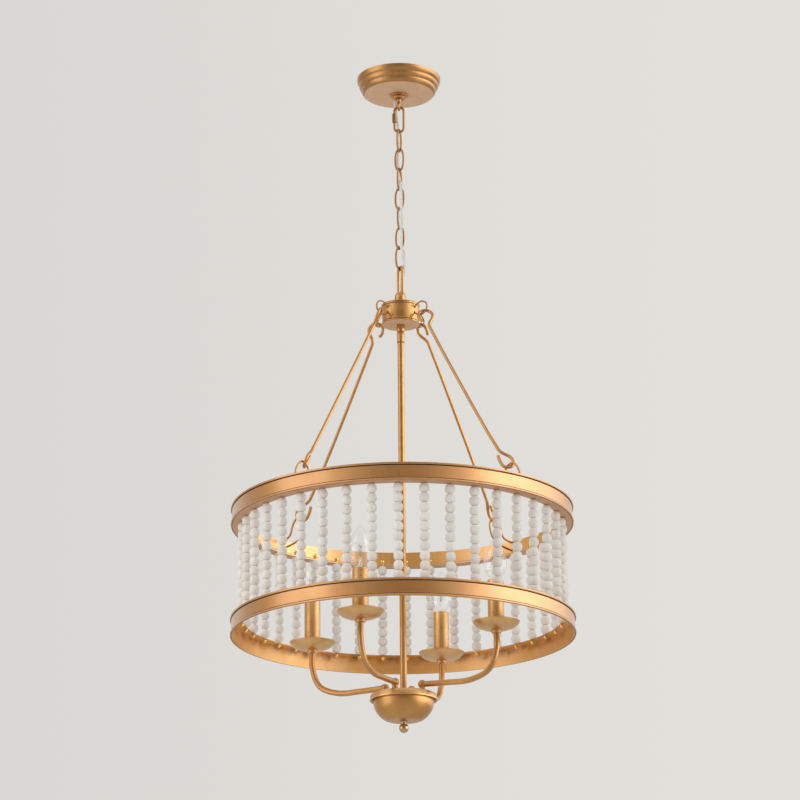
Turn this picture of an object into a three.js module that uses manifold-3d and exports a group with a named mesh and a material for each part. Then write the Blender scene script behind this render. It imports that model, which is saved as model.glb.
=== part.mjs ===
// Beaded drum chandelier: a ceiling canopy, a chain, a hub with four hooked rods, two flanged
// rings strung with forty bead strands, and a central stem with four candle arms.
// Millimetres, +Z up. The origin is the middle of the ceiling bracket's top face.
import * as THREE from 'three';
import { mergeVertices } from 'three/addons/utils/BufferGeometryUtils.js';
import Module from 'manifold-3d';

const wasm = await Module();
wasm.setup();

// Shared values
const clearance = 0.3;
const overrun = 2;
const weld_distance = 0.0001;
const quarter_turn = Math.PI / 2;
const full_turn = 2 * Math.PI;

// Ceiling bracket and canopy
const strap_length = 104;
const strap_width = 18;
const strap_thickness = 1.6;
const canopy_nipple_radius = 4.4;
const canopy_rim_radius = 65;
const canopy_disc_radius = 50.5;
const canopy_height = 26.3;
const canopy_wall = 1.2;
const canopy_sides = 24;
const collar_flange_radius = 14.2;
const collar_flange_thickness = 2.4;
const collar_bulb_radius = 10.2;
const collar_foot_radius = 9;
const collar_height = 6.5;
const canopy_loop_neck_radius = 3.7;
const canopy_loop_shank_radius = 3;
const canopy_loop_shank_length = 20;
const canopy_loop_ring_radius = 5.9;
const canopy_loop_wire_radius = 2.1;
const canopy_loop_neck_length = 3.3;
const canopy_loop_turn = 84;

// Quick link and chain, each link's plane given by its turn about the vertical
const quick_link_width = 18;
const quick_link_inner_length = 38.2;
const quick_link_wire_radius = 1.8;
const quick_link_turn = 0;
const quick_link_nut_radius = 3.3;
const quick_link_nut_length = 15;
const quick_link_nut_travel = 7.5;
const quick_link_gap = 4;
const chain_link_width = 17;
const chain_link_inner_length = 32.6;
const end_link_inner_length = 34.7;
const chain_wire_radius = 1.6;
const chain_link_turns = [65, -25, 65, -25, 63, -31, 26];
const link_wire_sides = 5;
const link_steps = 12;

// Hub
const hub_loop_width = 20;
const hub_loop_inner_length = 42;
const hub_loop_wire_radius = 2.3;
const hub_loop_turn = -71;
const hub_base_radius = 6.7;
const hub_base_height = 17.6;
const hub_collar_radius = 9;
const hub_collar_height = 13.1;
const hub_cap_radius = 29.5;
const hub_cap_crown_radius = 24;
const hub_cap_thickness = 1.2;
const hub_cap_lip = 3.2;
const hub_radius = 28.9;
const hub_waist_radius = 28;
const hub_height = 29.9;
const hub_lip_height = 2.6;
const hub_wall = 1;
const hub_sides = 20;
const hub_nipple_radius = 4;
const hub_nipple_bore = 2.7;
const hub_nipple_seat = 7;
const hub_ring_wire_radius = 1.1;
const hub_ring_reach = 39.1;
const hub_ring_half_length = 14.9;
const hub_ring_pull_share = [0.53, 0.624];
const hub_ring_shares = [
  [-0.879, 0.174], [-0.644, 0.329], [-0.309, 0.577], [0.161, 0.711], hub_ring_pull_share, [0.839, 0.416],
];
const hub_ring_drop = 11.9;
const hub_hole_offset = 4.05;
const hub_hole_height = 4.2;
const hub_hole_width = 3.4;

// Hooked rods, placed by their turn from the front and with the hooks' plane turned on the rod
const rod_radius = 2.5;
const rod_turns = [48, 138, -132, -42];
const rod_upper_hook_turns = [45, 12, 45, 45];
const rod_lower_hook_turns = [45, 27, 45, 45];
const rod_sides = 5;
const hook_radius = 10;
const upper_hook_shares = [
  [1.5, -0.8], [0.95, -1], [0.4, -0.98], [-0.08, -0.72], [-0.33, -0.25], [-0.33, 0.25], [-0.08, 0.72],
  [0.4, 1.02], [0.95, 1.1], [1.5, 0.84], [2.1, 0.2], [2.7, -0.18], [3.2, -0.24],
];
const lower_hook_shares = [
  [2.25, -0.76], [1.75, -0.86], [1.1, -0.92], [0.4, -0.88], [-0.12, -0.62], [-0.33, -0.2],
  [-0.33, 0.2], [-0.12, 0.58], [0.3, 0.82], [0.85, 0.86], [1.5, 0.66], [2.1, 0.26], [2.7, -0.1],
  [3.3, -0.26],
];
const hook_crown_share = 0.33;

// Drum: two flanged rings and the bead strands between them
const ring_band_radius = 254.2;
const ring_lip_reach = 1.8;
const ring_wall = 1.5;
const ring_height = 26;
const drum_rise = 280.9;
const ring_lip_height = 3;
const ring_flange_width = 17.5;
const strand_count = 40;
const strand_setback = 15.6;
const first_strand_turn = -1.4;
const strand_groups = 4;
const beads_per_strand = 10;
const bead_gap_length = 142.6;
const bead_radius = 7.2;
const bead_neck_radius = 3.2;
const bead_sides = 5;
const thread_radius = 0.9;
const thread_hole_width = 2.6;
const stopper_radius = 3;
const stopper_height = 6;
const tie_wire_radius = 0.8;
const eye_wire_radius = 1.4;
const eye_hook_clearance = 0.7;
const eye_length = 44.1;
const eye_tip_share = [1, 0.639];
const eye_shares = [
  [0, -0.045], [0.408, 0.034], [0.51, 0.17], [0.565, 0.351], [0.669, 0.54],
  [0.839, 0.671], eye_tip_share, [1.116, 0.528], [1.163, 0.363], [1.138, 0.181], [1.032, -0.023],
  [0.85, -0.17], [0.5, -0.275], [0, -0.34],
];
const eye_foot_bite = 0.8;

// Stem and bowl
const coupling_radius = 6;
const coupling_length = 11.1;
const coupling_seat = 5.4;
const stem_thread_radius = 3.6;
const stem_thread_gap = 1.3;
const stem_sleeve_radius = 5.4;
const stem_sleeve_length = 15.7;
const stem_radius = 5;
const stem_length = 544.1;
const stem_bore = 1.8;
const stem_rod_radius = 3;
const stem_sides = 12;
const lid_top_radius = 45.5;
const lid_skirt_radius = 50;
const lid_height = 10.1;
const lid_wall = 1.2;
const stem_nut_radius = 6.5;
const stem_nut_height = 5;
const bowl_radius = 44.8;
const bowl_depth = 39.5;
const bowl_shares = [
  [1, 0.87], [0.982, 0.58], [0.9, 0.36], [0.76, 0.17], [0.6, 0.05], [0.46, 0.01],
];
const bowl_wall = 1.2;
const bowl_foot_radius = 9;
const bowl_sides = 18;
const finial_neck_radius = 6;
const finial_neck_height = 2.2;
const finial_ball_radius = 7.2;
const finial_bore_depth = 8;

// Candle arms
const arm_turns = [-24.2, 65.8, 157, -114.2];
const arm_reach = 149;
const arm_knuckle_reach = 30;
const arm_knuckle_rise = 12.1;
const arm_radius = 4.3;
const arm_bend_radius = 42;
const arm_sag = 1.3;
const arm_knuckle_radius = 6.2;
const arm_neck_radius = 4.6;
const arm_stub_radius = 3.4;
const arm_stub_length = 6;
const arm_nipple_radius = 3;
const arm_nipple_length = 15;
const pan_radius = 34.5;
const pan_depth = 11;
const pan_wall = 1.2;
const pan_collar_radius = 7.5;
const pan_collar_height = 4.8;
const pan_rise = 93.4;
const sleeve_radius = 12;
const sleeve_wall = 1;
const sleeve_length = 72.7;
const socket_radius = 10.2;
const socket_cup_length = 36;
const socket_post_radius = 5;
const socket_setback = 3;
const bulb_base_radius = 6;
const bulb_base_length = 20;
const bulb_radius = 17.5;
const bulb_glass_length = 68;
const bulb_wall = 1;

// Lamp cord: its chosen route, [x, y, z], from inside the canopy to inside the hub's loop
const cord_radius = 2.3;
const cord_sides = 6;
const cord_steps = 38;
const cord_route = [
  [-5.7, 5.9, -17], [-5.7, 5.9, -26], [-5.7, 5.9, -35], [-5.4, 6, -46], [-4.4, 6.1, -57],
  [-3, 6.1, -68], [-2.3, 6.1, -78], [-2.2, 6.1, -90], [-2.2, 6.1, -104], [-2.2, 6.1, -119],
  [-2.2, 6.1, -135], [-2.1, 5.9, -149], [-1.5, 4, -158], [0, 0, -167.5], [1.5, -4, -177],
  [2.1, -6, -186], [2.2, -6.3, -200], [2.2, -6.3, -216], [2, -6.2, -232], [1.8, -6.2, -248],
  [1.8, -6.2, -264], [2.1, -6.3, -281], [4.2, -5.5, -294], [6.1, -3.7, -305], [6.5, -2.5, -315],
  [5, -1.7, -324.5], [2.2, -0.8, -334], [0.4, -0.1, -343], [0, 0, -352], [0, 0, -366],
];

// Sizes and heights that follow from the ones above
const ring_lip_radius = ring_band_radius + ring_lip_reach;
const ring_inner_radius = ring_band_radius - ring_wall;
const strand_circle_radius = ring_band_radius - strand_setback;
const eye_foot_radius = ring_inner_radius + eye_foot_bite;
const collar_top = -canopy_height - clearance;
const collar_foot = collar_top - collar_height;
const canopy_loop_reach = canopy_loop_ring_radius + canopy_loop_wire_radius;
const canopy_loop_top = collar_foot - clearance - canopy_loop_neck_length;
const canopy_loop_centre = canopy_loop_top - canopy_loop_reach;
const quick_link_hang = canopy_loop_centre - canopy_loop_ring_radius + canopy_loop_wire_radius;
const chain_hang = quick_link_hang - quick_link_inner_length + clearance;
const chain_count = chain_link_turns.length;
const chain_pitch = chain_link_inner_length - clearance;
const end_pitch = end_link_inner_length - clearance;
const hub_hang = chain_hang - (chain_count - 1) * chain_pitch - end_pitch;
const hub_loop_straight = straightOf(hub_loop_inner_length, hub_loop_width, hub_loop_wire_radius);
const hub_loop_centre = hub_hang + clearance / 2 - hub_loop_inner_length / 2;
const hub_base_top = hub_hang - hub_loop_inner_length + hub_loop_wire_radius;
const hub_cap_top = hub_base_top - hub_base_height - clearance;
const hub_top = hub_cap_top - hub_cap_lip - clearance;
const hub_floor = hub_top - hub_height;
const hub_ring_height = hub_top - hub_ring_drop;
const coupling_top = hub_floor - clearance;
const coupling_foot = coupling_top - coupling_length;
const stem_top = coupling_foot - stem_thread_gap;
const lid_top = stem_top - stem_sleeve_length - stem_length - clearance;
const bowl_top = lid_top - lid_wall - clearance;
const bowl_floor = bowl_top - bowl_depth;
const finial_top = bowl_floor - clearance;
const finial_ball_centre = finial_top - finial_neck_height - finial_ball_radius;
const knuckle_height = lid_top + arm_knuckle_rise;
const pan_rim = lid_top + pan_rise;
const pan_floor = pan_rim - pan_depth;
const pan_foot = pan_floor - pan_wall - pan_collar_height;
const sleeve_foot = pan_floor + clearance;
const sleeve_top = sleeve_foot + sleeve_length;
const socket_top = sleeve_top - socket_setback;
const upper_ring_top = lid_top + drum_rise;
const upper_ring_foot = upper_ring_top - ring_height;
const lower_ring_top = upper_ring_foot - bead_gap_length;

// Length of the straight sides of a stretched ring
function straightOf(inner_length, width, wire_radius) {
  const bend_radius = width / 2 - wire_radius;
  return inner_length + 2 * wire_radius - 2 * bend_radius;
}

// Makes a closed solid of a three.js geometry
function solid(geometry) {
  geometry.deleteAttribute('normal');
  geometry.deleteAttribute('uv');
  const merged = mergeVertices(geometry, weld_distance);
  const corners = merged.index.array;
  const kept = [];
  for (let i = 0; i < corners.length; i += 3) {
    const [a, b, c] = [corners[i], corners[i + 1], corners[i + 2]];
    if (a !== b && b !== c && c !== a) {
      kept.push(a, b, c);
    }
  }
  const vertProperties = new Float32Array(merged.attributes.position.array);
  const triVerts = new Uint32Array(kept);
  return new wasm.Manifold(new wasm.Mesh({ numProp: 3, vertProperties, triVerts }));
}

// Turns a profile of [radius, height] pairs about the vertical; outside runs up, inside runs down
function turned(profile, sides) {
  const points = profile.map(([radius, height]) => new THREE.Vector2(radius, height));
  const geometry = new THREE.LatheGeometry(points, sides);
  geometry.rotateX(quarter_turn);
  return solid(geometry);
}

// A ring-shaped profile, closed on itself
function turnedRing(profile, sides) {
  return turned([...profile, profile[0]], sides);
}

function cylinder(radius, foot, top, sides) {
  return turned([[0, foot], [radius, foot], [radius, top], [0, top]], sides);
}

function hexNut(radius, bore, foot, top) {
  return cut(cylinder(radius, foot, top, 6), cylinder(bore, foot - overrun, top + overrun, 12));
}

function block(width, depth, height, place) {
  const geometry = new THREE.BoxGeometry(width, depth, height);
  geometry.translate(...place);
  return solid(geometry);
}

// A wire ring in the XZ plane, pulled apart along Z so that its sides are straight, flat at its ends
function stretchedRing(width, straight, wire_radius, wire_sides, steps) {
  const bend_radius = width / 2 - wire_radius;
  const geometry = new THREE.TorusGeometry(bend_radius, wire_radius, wire_sides, steps);
  geometry.rotateZ(Math.PI / steps);
  geometry.rotateX(quarter_turn);
  const rise = straight / 2 + bend_radius * (1 - Math.cos(Math.PI / steps));
  const places = geometry.attributes.position;
  for (let i = 0; i < places.count; i += 1) {
    const height = places.getZ(i);
    places.setZ(i, height + Math.sign(height) * rise);
  }
  return solid(geometry);
}

// A curve that steps evenly from point to point, whatever the distance between them
class SteppedCurve extends THREE.Curve {
  constructor(points, closed = false) {
    super();
    this.guide = new THREE.CatmullRomCurve3(points, closed, 'centripetal');
  }

  getPoint(t, target) {
    return this.guide.getPoint(t, target);
  }

  getPointAt(u, target) {
    return this.guide.getPoint(u, target);
  }

  getTangentAt(u, target) {
    return this.guide.getTangent(u, target);
  }
}

// A round bar bent along a curve
function bar(curve, radius, sides, steps) {
  const section = new THREE.Shape();
  for (let i = 0; i < sides; i += 1) {
    const turn = full_turn * i / sides;
    const corner = [radius * Math.cos(turn), radius * Math.sin(turn)];
    if (i === 0) {
      section.moveTo(...corner);
    } else {
      section.lineTo(...corner);
    }
  }
  return solid(new THREE.ExtrudeGeometry(section, { steps, extrudePath: curve, curveSegments: 1 }));
}

function bentWire(points, radius, sides, steps_per_span) {
  const curve = new SteppedCurve(points);
  return bar(curve, radius, sides, steps_per_span * (points.length - 1));
}

function closedWire(points, radius, sides) {
  const curve = new SteppedCurve(points, true);
  return solid(new THREE.TubeGeometry(curve, points.length, radius, sides, true));
}

function join(first, ...others) {
  return others.reduce((sum, other) => sum.add(other), first);
}

function cut(first, ...others) {
  return others.reduce((rest, other) => rest.subtract(other), first);
}

const finishes = {
  gold: { color: 0xb98a4a, roughness: 0.42, metalness: 0.9 },
  steel: { color: 0x9c9a95, roughness: 0.4, metalness: 0.9 },
  bead: { color: 0xe6e0d8, roughness: 0.8, metalness: 0 },
  glass: { color: 0xf2f4f4, roughness: 0.05, metalness: 0, transparent: true, opacity: 0.35 },
  cord: { color: 0xd9d7d0, roughness: 0.35, metalness: 0 },
  lampholder: { color: 0x2b2a28, roughness: 0.6, metalness: 0 },
};

// A named piece from a solid, with a material of its own
function piece(name, body, finish) {
  const shape = body.getMesh();
  const geometry = new THREE.BufferGeometry();
  geometry.setAttribute('position', new THREE.BufferAttribute(shape.vertProperties, 3));
  geometry.setIndex(new THREE.BufferAttribute(shape.triVerts, 1));
  geometry.computeVertexNormals();
  const mesh = new THREE.Mesh(geometry, new THREE.MeshStandardMaterial(finishes[finish]));
  mesh.name = name;
  return mesh;
}

// Turns a piece built along +X to face a given turn from the front, positive towards +X
function face(object, turn_from_front) {
  object.rotation.z = THREE.MathUtils.degToRad(turn_from_front) - quarter_turn;
  return object;
}

const chandelier = new THREE.Group();

// Where the lamp cord passes through the canopy and its collar
function cordHole(top, foot) {
  const hole = cylinder(cord_radius + clearance, foot, top, 12);
  const [x, y] = cord_route[0];
  return hole.translate([x, y, 0]);
}

function addCanopy() {
  const nipple_foot = collar_foot + clearance;
  const nipple_bore = canopy_loop_shank_radius + clearance;
  const shank_top = collar_foot + canopy_loop_shank_length;
  const nipple = turned([
    [0, shank_top + clearance], [nipple_bore, shank_top + clearance], [nipple_bore, nipple_foot],
    [canopy_nipple_radius, nipple_foot], [canopy_nipple_radius, -strap_thickness / 2],
    [0, -strap_thickness / 2],
  ], 12);
  const strap = block(strap_length, strap_width, strap_thickness, [0, 0, -strap_thickness / 2]);
  chandelier.add(piece('ceiling_bracket', join(strap, nipple), 'steel'));

  const ridge_radius = canopy_rim_radius - canopy_disc_radius;
  const disc_hole = canopy_nipple_radius + clearance;
  const shell = turnedRing([
    [disc_hole, -canopy_height], [canopy_disc_radius, -canopy_height],
    [canopy_disc_radius + ridge_radius * 0.34, -canopy_height * 0.72],
    [canopy_disc_radius + ridge_radius * 0.72, -canopy_height * 0.4],
    [canopy_rim_radius, 0], [canopy_rim_radius - canopy_wall, 0],
    [canopy_disc_radius + ridge_radius * 0.72 - canopy_wall, -canopy_height * 0.4],
    [canopy_disc_radius - canopy_wall, -canopy_height + canopy_wall],
    [disc_hole, -canopy_height + canopy_wall],
  ], canopy_sides);
  const canopy = cut(shell, cordHole(-canopy_height / 2, -canopy_height - overrun));
  chandelier.add(piece('canopy', canopy, 'gold'));

  const collar_bore = canopy_nipple_radius + clearance;
  const flange_foot = collar_top - collar_flange_thickness;
  const ring = turnedRing([
    [collar_bore, collar_foot], [collar_foot_radius, collar_foot],
    [collar_bulb_radius, (collar_foot + flange_foot) / 2],
    [collar_foot_radius, flange_foot], [collar_flange_radius, flange_foot],
    [collar_flange_radius, collar_top], [collar_bore, collar_top],
  ], 14);
  const collar = cut(ring, cordHole(collar_top + overrun, collar_foot - overrun));
  chandelier.add(piece('canopy_collar', collar, 'gold'));

  const eye = stretchedRing(2 * canopy_loop_reach, 0, canopy_loop_wire_radius, link_wire_sides, link_steps);
  const neck_top = collar_foot - clearance - canopy_loop_centre;
  const neck_foot = neck_top - canopy_loop_neck_length - canopy_loop_wire_radius;
  const neck = turned([
    [0, neck_foot], [canopy_loop_neck_radius * 0.7, neck_foot], [canopy_loop_neck_radius, neck_top],
    [canopy_loop_shank_radius, neck_top], [canopy_loop_shank_radius, shank_top - canopy_loop_centre],
    [0, shank_top - canopy_loop_centre],
  ], 10);
  const loop = piece('canopy_loop', join(eye, neck), 'gold');
  loop.position.z = canopy_loop_centre;
  loop.rotation.z = THREE.MathUtils.degToRad(canopy_loop_turn);
  chandelier.add(loop);
}

function addChain() {
  const quick_straight = straightOf(quick_link_inner_length, quick_link_width, quick_link_wire_radius);
  const leg_place = quick_link_width / 2 - quick_link_wire_radius;
  const nut_top = quick_straight / 2 - quick_link_nut_travel / 2;
  const ring = stretchedRing(quick_link_width, quick_straight, quick_link_wire_radius, link_wire_sides, link_steps);
  const gap_place = nut_top - quick_link_gap;
  const gap_width = 2 * quick_link_wire_radius + 2 * clearance;
  const gap = block(gap_width, gap_width, quick_link_gap, [-leg_place, 0, gap_place]);
  const quick = new THREE.Group();
  quick.add(piece('quick_link', cut(ring, gap), 'gold'));
  const nut_bore = quick_link_wire_radius + clearance;
  const nut_foot = nut_top - quick_link_nut_length;
  const nut = piece('quick_link_nut', hexNut(quick_link_nut_radius, nut_bore, nut_foot, nut_top), 'gold');
  nut.position.x = -leg_place;
  quick.add(nut);
  quick.position.z = quick_link_hang + clearance / 2 - quick_link_inner_length / 2;
  quick.rotation.z = THREE.MathUtils.degToRad(quick_link_turn);
  chandelier.add(quick);

  chain_link_turns.forEach((turn, index) => {
    const is_end = index === chain_count - 1;
    const inner_length = is_end ? end_link_inner_length : chain_link_inner_length;
    const straight = straightOf(inner_length, chain_link_width, chain_wire_radius);
    const body = stretchedRing(chain_link_width, straight, chain_wire_radius, link_wire_sides, link_steps);
    const link = piece(`chain_link_${index + 1}`, body, 'gold');
    link.position.z = chain_hang - index * chain_pitch + clearance / 2 - inner_length / 2;
    link.rotation.z = THREE.MathUtils.degToRad(turn);
    chandelier.add(link);
  });
}

function addHub() {
  const ring = stretchedRing(hub_loop_width, hub_loop_straight, hub_loop_wire_radius, link_wire_sides, link_steps);
  const base_top = hub_base_top - hub_loop_centre;
  const base_foot = base_top - hub_base_height;
  const base = cylinder(hub_base_radius, base_foot, base_top, 12);
  const cord_bore = cylinder(hub_nipple_bore, base_foot - overrun, base_top + overrun, 12);
  const seat = cylinder(hub_nipple_radius + clearance, base_foot - overrun, base_foot + hub_nipple_seat, 10);
  const loop = piece('hub_loop', cut(join(ring, base), cord_bore, seat), 'gold');
  loop.position.z = hub_loop_centre;
  loop.rotation.z = THREE.MathUtils.degToRad(hub_loop_turn);
  chandelier.add(loop);

  const collar_bore = hub_base_radius + 2 * clearance;
  const hub_collar_foot = hub_cap_top + clearance;
  const hub_collar_top = hub_collar_foot + hub_collar_height;
  chandelier.add(piece('hub_loop_collar', turnedRing([
    [collar_bore, hub_collar_foot], [hub_collar_radius, hub_collar_foot],
    [hub_collar_radius, hub_collar_foot + hub_collar_height * 0.4],
    [collar_bore, hub_collar_top],
  ], 14), 'gold'));

  const nipple_hole = hub_nipple_radius + clearance;
  chandelier.add(piece('hub_cap', turnedRing([
    [nipple_hole, hub_cap_top - hub_cap_thickness],
    [hub_cap_radius - hub_cap_thickness, hub_cap_top - hub_cap_lip],
    [hub_cap_radius, hub_cap_top - hub_cap_lip],
    [hub_cap_radius - hub_cap_thickness, hub_cap_top - hub_cap_lip / 2],
    [hub_cap_crown_radius, hub_cap_top], [nipple_hole, hub_cap_top],
  ], hub_sides), 'gold'));

  const shell = turnedRing([
    [nipple_hole, hub_floor], [hub_radius, hub_floor], [hub_radius, hub_floor + hub_lip_height],
    [hub_waist_radius, hub_floor + 2 * hub_lip_height], [hub_radius, hub_ring_height],
    [hub_radius, hub_top], [hub_radius - hub_wall, hub_top],
    [hub_radius - hub_wall, hub_ring_height],
    [hub_waist_radius - hub_wall, hub_floor + 2 * hub_lip_height],
    [hub_waist_radius - hub_wall, hub_floor + hub_wall], [nipple_hole, hub_floor + hub_wall],
  ], hub_sides);
  const holes = [];
  rod_turns.forEach((turn) => {
    [-hub_hole_offset, hub_hole_offset].forEach((offset) => {
      const hole = block(hub_radius / 2, hub_hole_width, hub_hole_height, [hub_radius, 0, hub_ring_height + offset]);
      holes.push(hole.rotate([0, 0, turn - 90]));
    });
  });
  chandelier.add(piece('hub_body', cut(shell, ...holes), 'gold'));

  const nipple_top = hub_cap_top + clearance + hub_nipple_seat - clearance;
  chandelier.add(piece('hub_nipple', turnedRing([
    [hub_nipple_bore, coupling_top - coupling_seat + clearance],
    [hub_nipple_radius, coupling_top - coupling_seat + clearance],
    [hub_nipple_radius, nipple_top], [hub_nipple_bore, nipple_top],
  ], 10), 'steel'));

  const lower_half = hub_ring_shares.map(([out, up]) => hubRingPoint(out, -up));
  const upper_half = hub_ring_shares.map(([out, up]) => hubRingPoint(out, up)).reverse();
  const points = [hubRingPoint(-1, 0), ...lower_half, hubRingPoint(1, 0), ...upper_half];
  rod_turns.forEach((turn, index) => {
    const wire = closedWire(points, hub_ring_wire_radius, link_wire_sides);
    chandelier.add(face(piece(`hub_ring_${index + 1}`, wire, 'gold'), turn));
  });
}

// A point of the hub ring's outline, in the plane of +X and Z
function hubRingPoint(out, up) {
  const place = new THREE.Vector3(hub_ring_reach, 0, hub_ring_height);
  return place.add(new THREE.Vector3(out, 0, up).multiplyScalar(hub_ring_half_length));
}

// A point of the ring eye's outline, in the plane of +X and Z
function eyePoint([inward, up]) {
  return new THREE.Vector3(eye_foot_radius - inward * eye_length, 0, upper_ring_top + up * eye_length);
}

// Rods between hub rings and drum eyes, in the plane of +X and Z, with the hooks' plane turned
function addRods() {
  const low = eyePoint(eye_tip_share);
  const [pull_out, pull_down] = hub_ring_pull_share;
  const high = hubRingPoint(pull_out, -pull_down);
  const along = low.clone().sub(high).normalize();
  const outward = new THREE.Vector3(-along.z, 0, along.x);
  const sideways = new THREE.Vector3(0, 1, 0);
  const crown = hook_crown_share * hook_radius;
  const high_lift = hub_ring_wire_radius + rod_radius + clearance - crown;
  const low_lift = eye_wire_radius + rod_radius + eye_hook_clearance - crown;
  rod_turns.forEach((turn, index) => {
    const hook = (shares, hook_turn, end, direction, lift) => {
      const plane_turn = THREE.MathUtils.degToRad(hook_turn);
      const across = sideways.clone().multiplyScalar(Math.cos(plane_turn));
      across.addScaledVector(outward, Math.sin(plane_turn));
      return shares.map(([down, side]) => {
        const point = end.clone().addScaledVector(direction, down * hook_radius - lift);
        return point.addScaledVector(across, side * hook_radius);
      });
    };
    const upper = hook(upper_hook_shares, rod_upper_hook_turns[index], high, along, high_lift);
    const back = along.clone().negate();
    const lower = hook(lower_hook_shares, rod_lower_hook_turns[index], low, back, low_lift).reverse();
    const body = bentWire([...upper, ...lower], rod_radius, rod_sides, 1);
    chandelier.add(face(piece(`hook_rod_${index + 1}`, body, 'gold'), turn));
  });
}

// Outline of a flanged ring's section with its flange at the foot, at a given height
function ringSection(foot, flange_at_top) {
  const flange_radius = ring_band_radius - ring_flange_width;
  const section = [
    [flange_radius, 0], [ring_lip_radius, 0], [ring_band_radius, ring_lip_height],
    [ring_band_radius, ring_height - ring_lip_height], [ring_lip_radius, ring_height],
    [ring_inner_radius, ring_height], [ring_inner_radius, ring_wall], [flange_radius, ring_wall],
  ];
  if (flange_at_top) {
    return section.map(([radius, height]) => [radius, foot + ring_height - height]).reverse();
  }
  return section.map(([radius, height]) => [radius, foot + height]);
}

function threadHoles(flange_foot) {
  const holes = [];
  for (let i = 0; i < strand_count; i += 1) {
    const place = [strand_circle_radius, 0, flange_foot + ring_wall / 2];
    const hole = block(thread_hole_width, thread_hole_width, ring_wall + overrun, place);
    holes.push(hole.rotate([0, 0, first_strand_turn - 90 + 360 * i / strand_count]));
  }
  return holes;
}

// A wire eye welded inside the band, in the plane of +X and Z
function ringEye() {
  return bentWire(eye_shares.map(eyePoint), eye_wire_radius, 4, 1);
}

function addDrum() {
  const band = turnedRing(ringSection(upper_ring_foot, false), strand_count);
  const eyes = rod_turns.map((turn) => ringEye().rotate([0, 0, turn - 90]));
  const upper = cut(join(band, ...eyes), ...threadHoles(upper_ring_foot));
  chandelier.add(piece('upper_ring', upper, 'gold'));
  const lower_foot = lower_ring_top - ring_height;
  const lower = cut(
    turnedRing(ringSection(lower_foot, true), strand_count),
    ...threadHoles(lower_ring_top - ring_wall),
  );
  chandelier.add(piece('lower_ring', lower, 'gold'));
}

// Strands of beads on threads, held by a stopper at each end and tied along the upper flange
function addStrands() {
  const strand_foot = lower_ring_top + clearance;
  const strand_top = upper_ring_foot - clearance;
  const pitch = (strand_top - strand_foot) / beads_per_strand;
  const low_stopper = lower_ring_top - ring_wall - clearance;
  const high_stopper = upper_ring_foot + ring_wall + clearance;
  const profile = [
    [0, low_stopper - stopper_height], [stopper_radius, low_stopper - stopper_height / 2],
    [thread_radius, low_stopper], [thread_radius, strand_foot],
  ];
  for (let i = 0; i < beads_per_strand; i += 1) {
    profile.push([bead_radius, strand_foot + (i + 0.5) * pitch]);
    if (i < beads_per_strand - 1) {
      profile.push([bead_neck_radius, strand_foot + (i + 1) * pitch]);
    }
  }
  profile.push(
    [thread_radius, strand_top], [thread_radius, high_stopper],
    [stopper_radius, high_stopper + stopper_height / 2], [0, high_stopper + stopper_height],
  );
  const per_group = strand_count / strand_groups;
  const step = full_turn / strand_count;
  for (let group = 0; group < strand_groups; group += 1) {
    const tie_points = [];
    const strands = [];
    for (let i = 0; i < per_group; i += 1) {
      const place = [strand_circle_radius * Math.cos(i * step), strand_circle_radius * Math.sin(i * step)];
      tie_points.push(new THREE.Vector3(...place, high_stopper + tie_wire_radius));
      strands.push(turned(profile, bead_sides).translate([...place, 0]));
    }
    const tie = bar(new THREE.CatmullRomCurve3(tie_points), tie_wire_radius, 3, per_group - 1);
    const body = join(tie, ...strands);
    const first_turn = first_strand_turn + group * per_group * 360 / strand_count;
    chandelier.add(face(piece(`bead_strands_${group + 1}`, body, 'bead'), first_turn));
  }
}

function addStem() {
  const seat_foot = coupling_top - coupling_seat;
  const thread_bore = stem_thread_radius + clearance;
  chandelier.add(piece('stem_coupling', turnedRing([
    [thread_bore, coupling_foot], [coupling_radius, coupling_foot], [coupling_radius, coupling_top],
    [hub_nipple_radius + clearance, coupling_top], [hub_nipple_radius + clearance, seat_foot],
    [thread_bore, seat_foot],
  ], stem_sides), 'gold'));

  const sleeve_end = stem_top - stem_sleeve_length;
  const stem_end = lid_top + clearance;
  const rod_end = finial_top - finial_bore_depth + clearance;
  chandelier.add(piece('stem', turnedRing([
    [stem_bore, rod_end], [stem_rod_radius, rod_end], [stem_rod_radius, stem_end],
    [stem_radius, stem_end], [stem_radius, sleeve_end], [stem_sleeve_radius, sleeve_end],
    [stem_sleeve_radius, stem_top], [stem_thread_radius, stem_top],
    [stem_thread_radius, seat_foot - clearance], [stem_bore, seat_foot - clearance],
  ], stem_sides), 'gold'));
}

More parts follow.
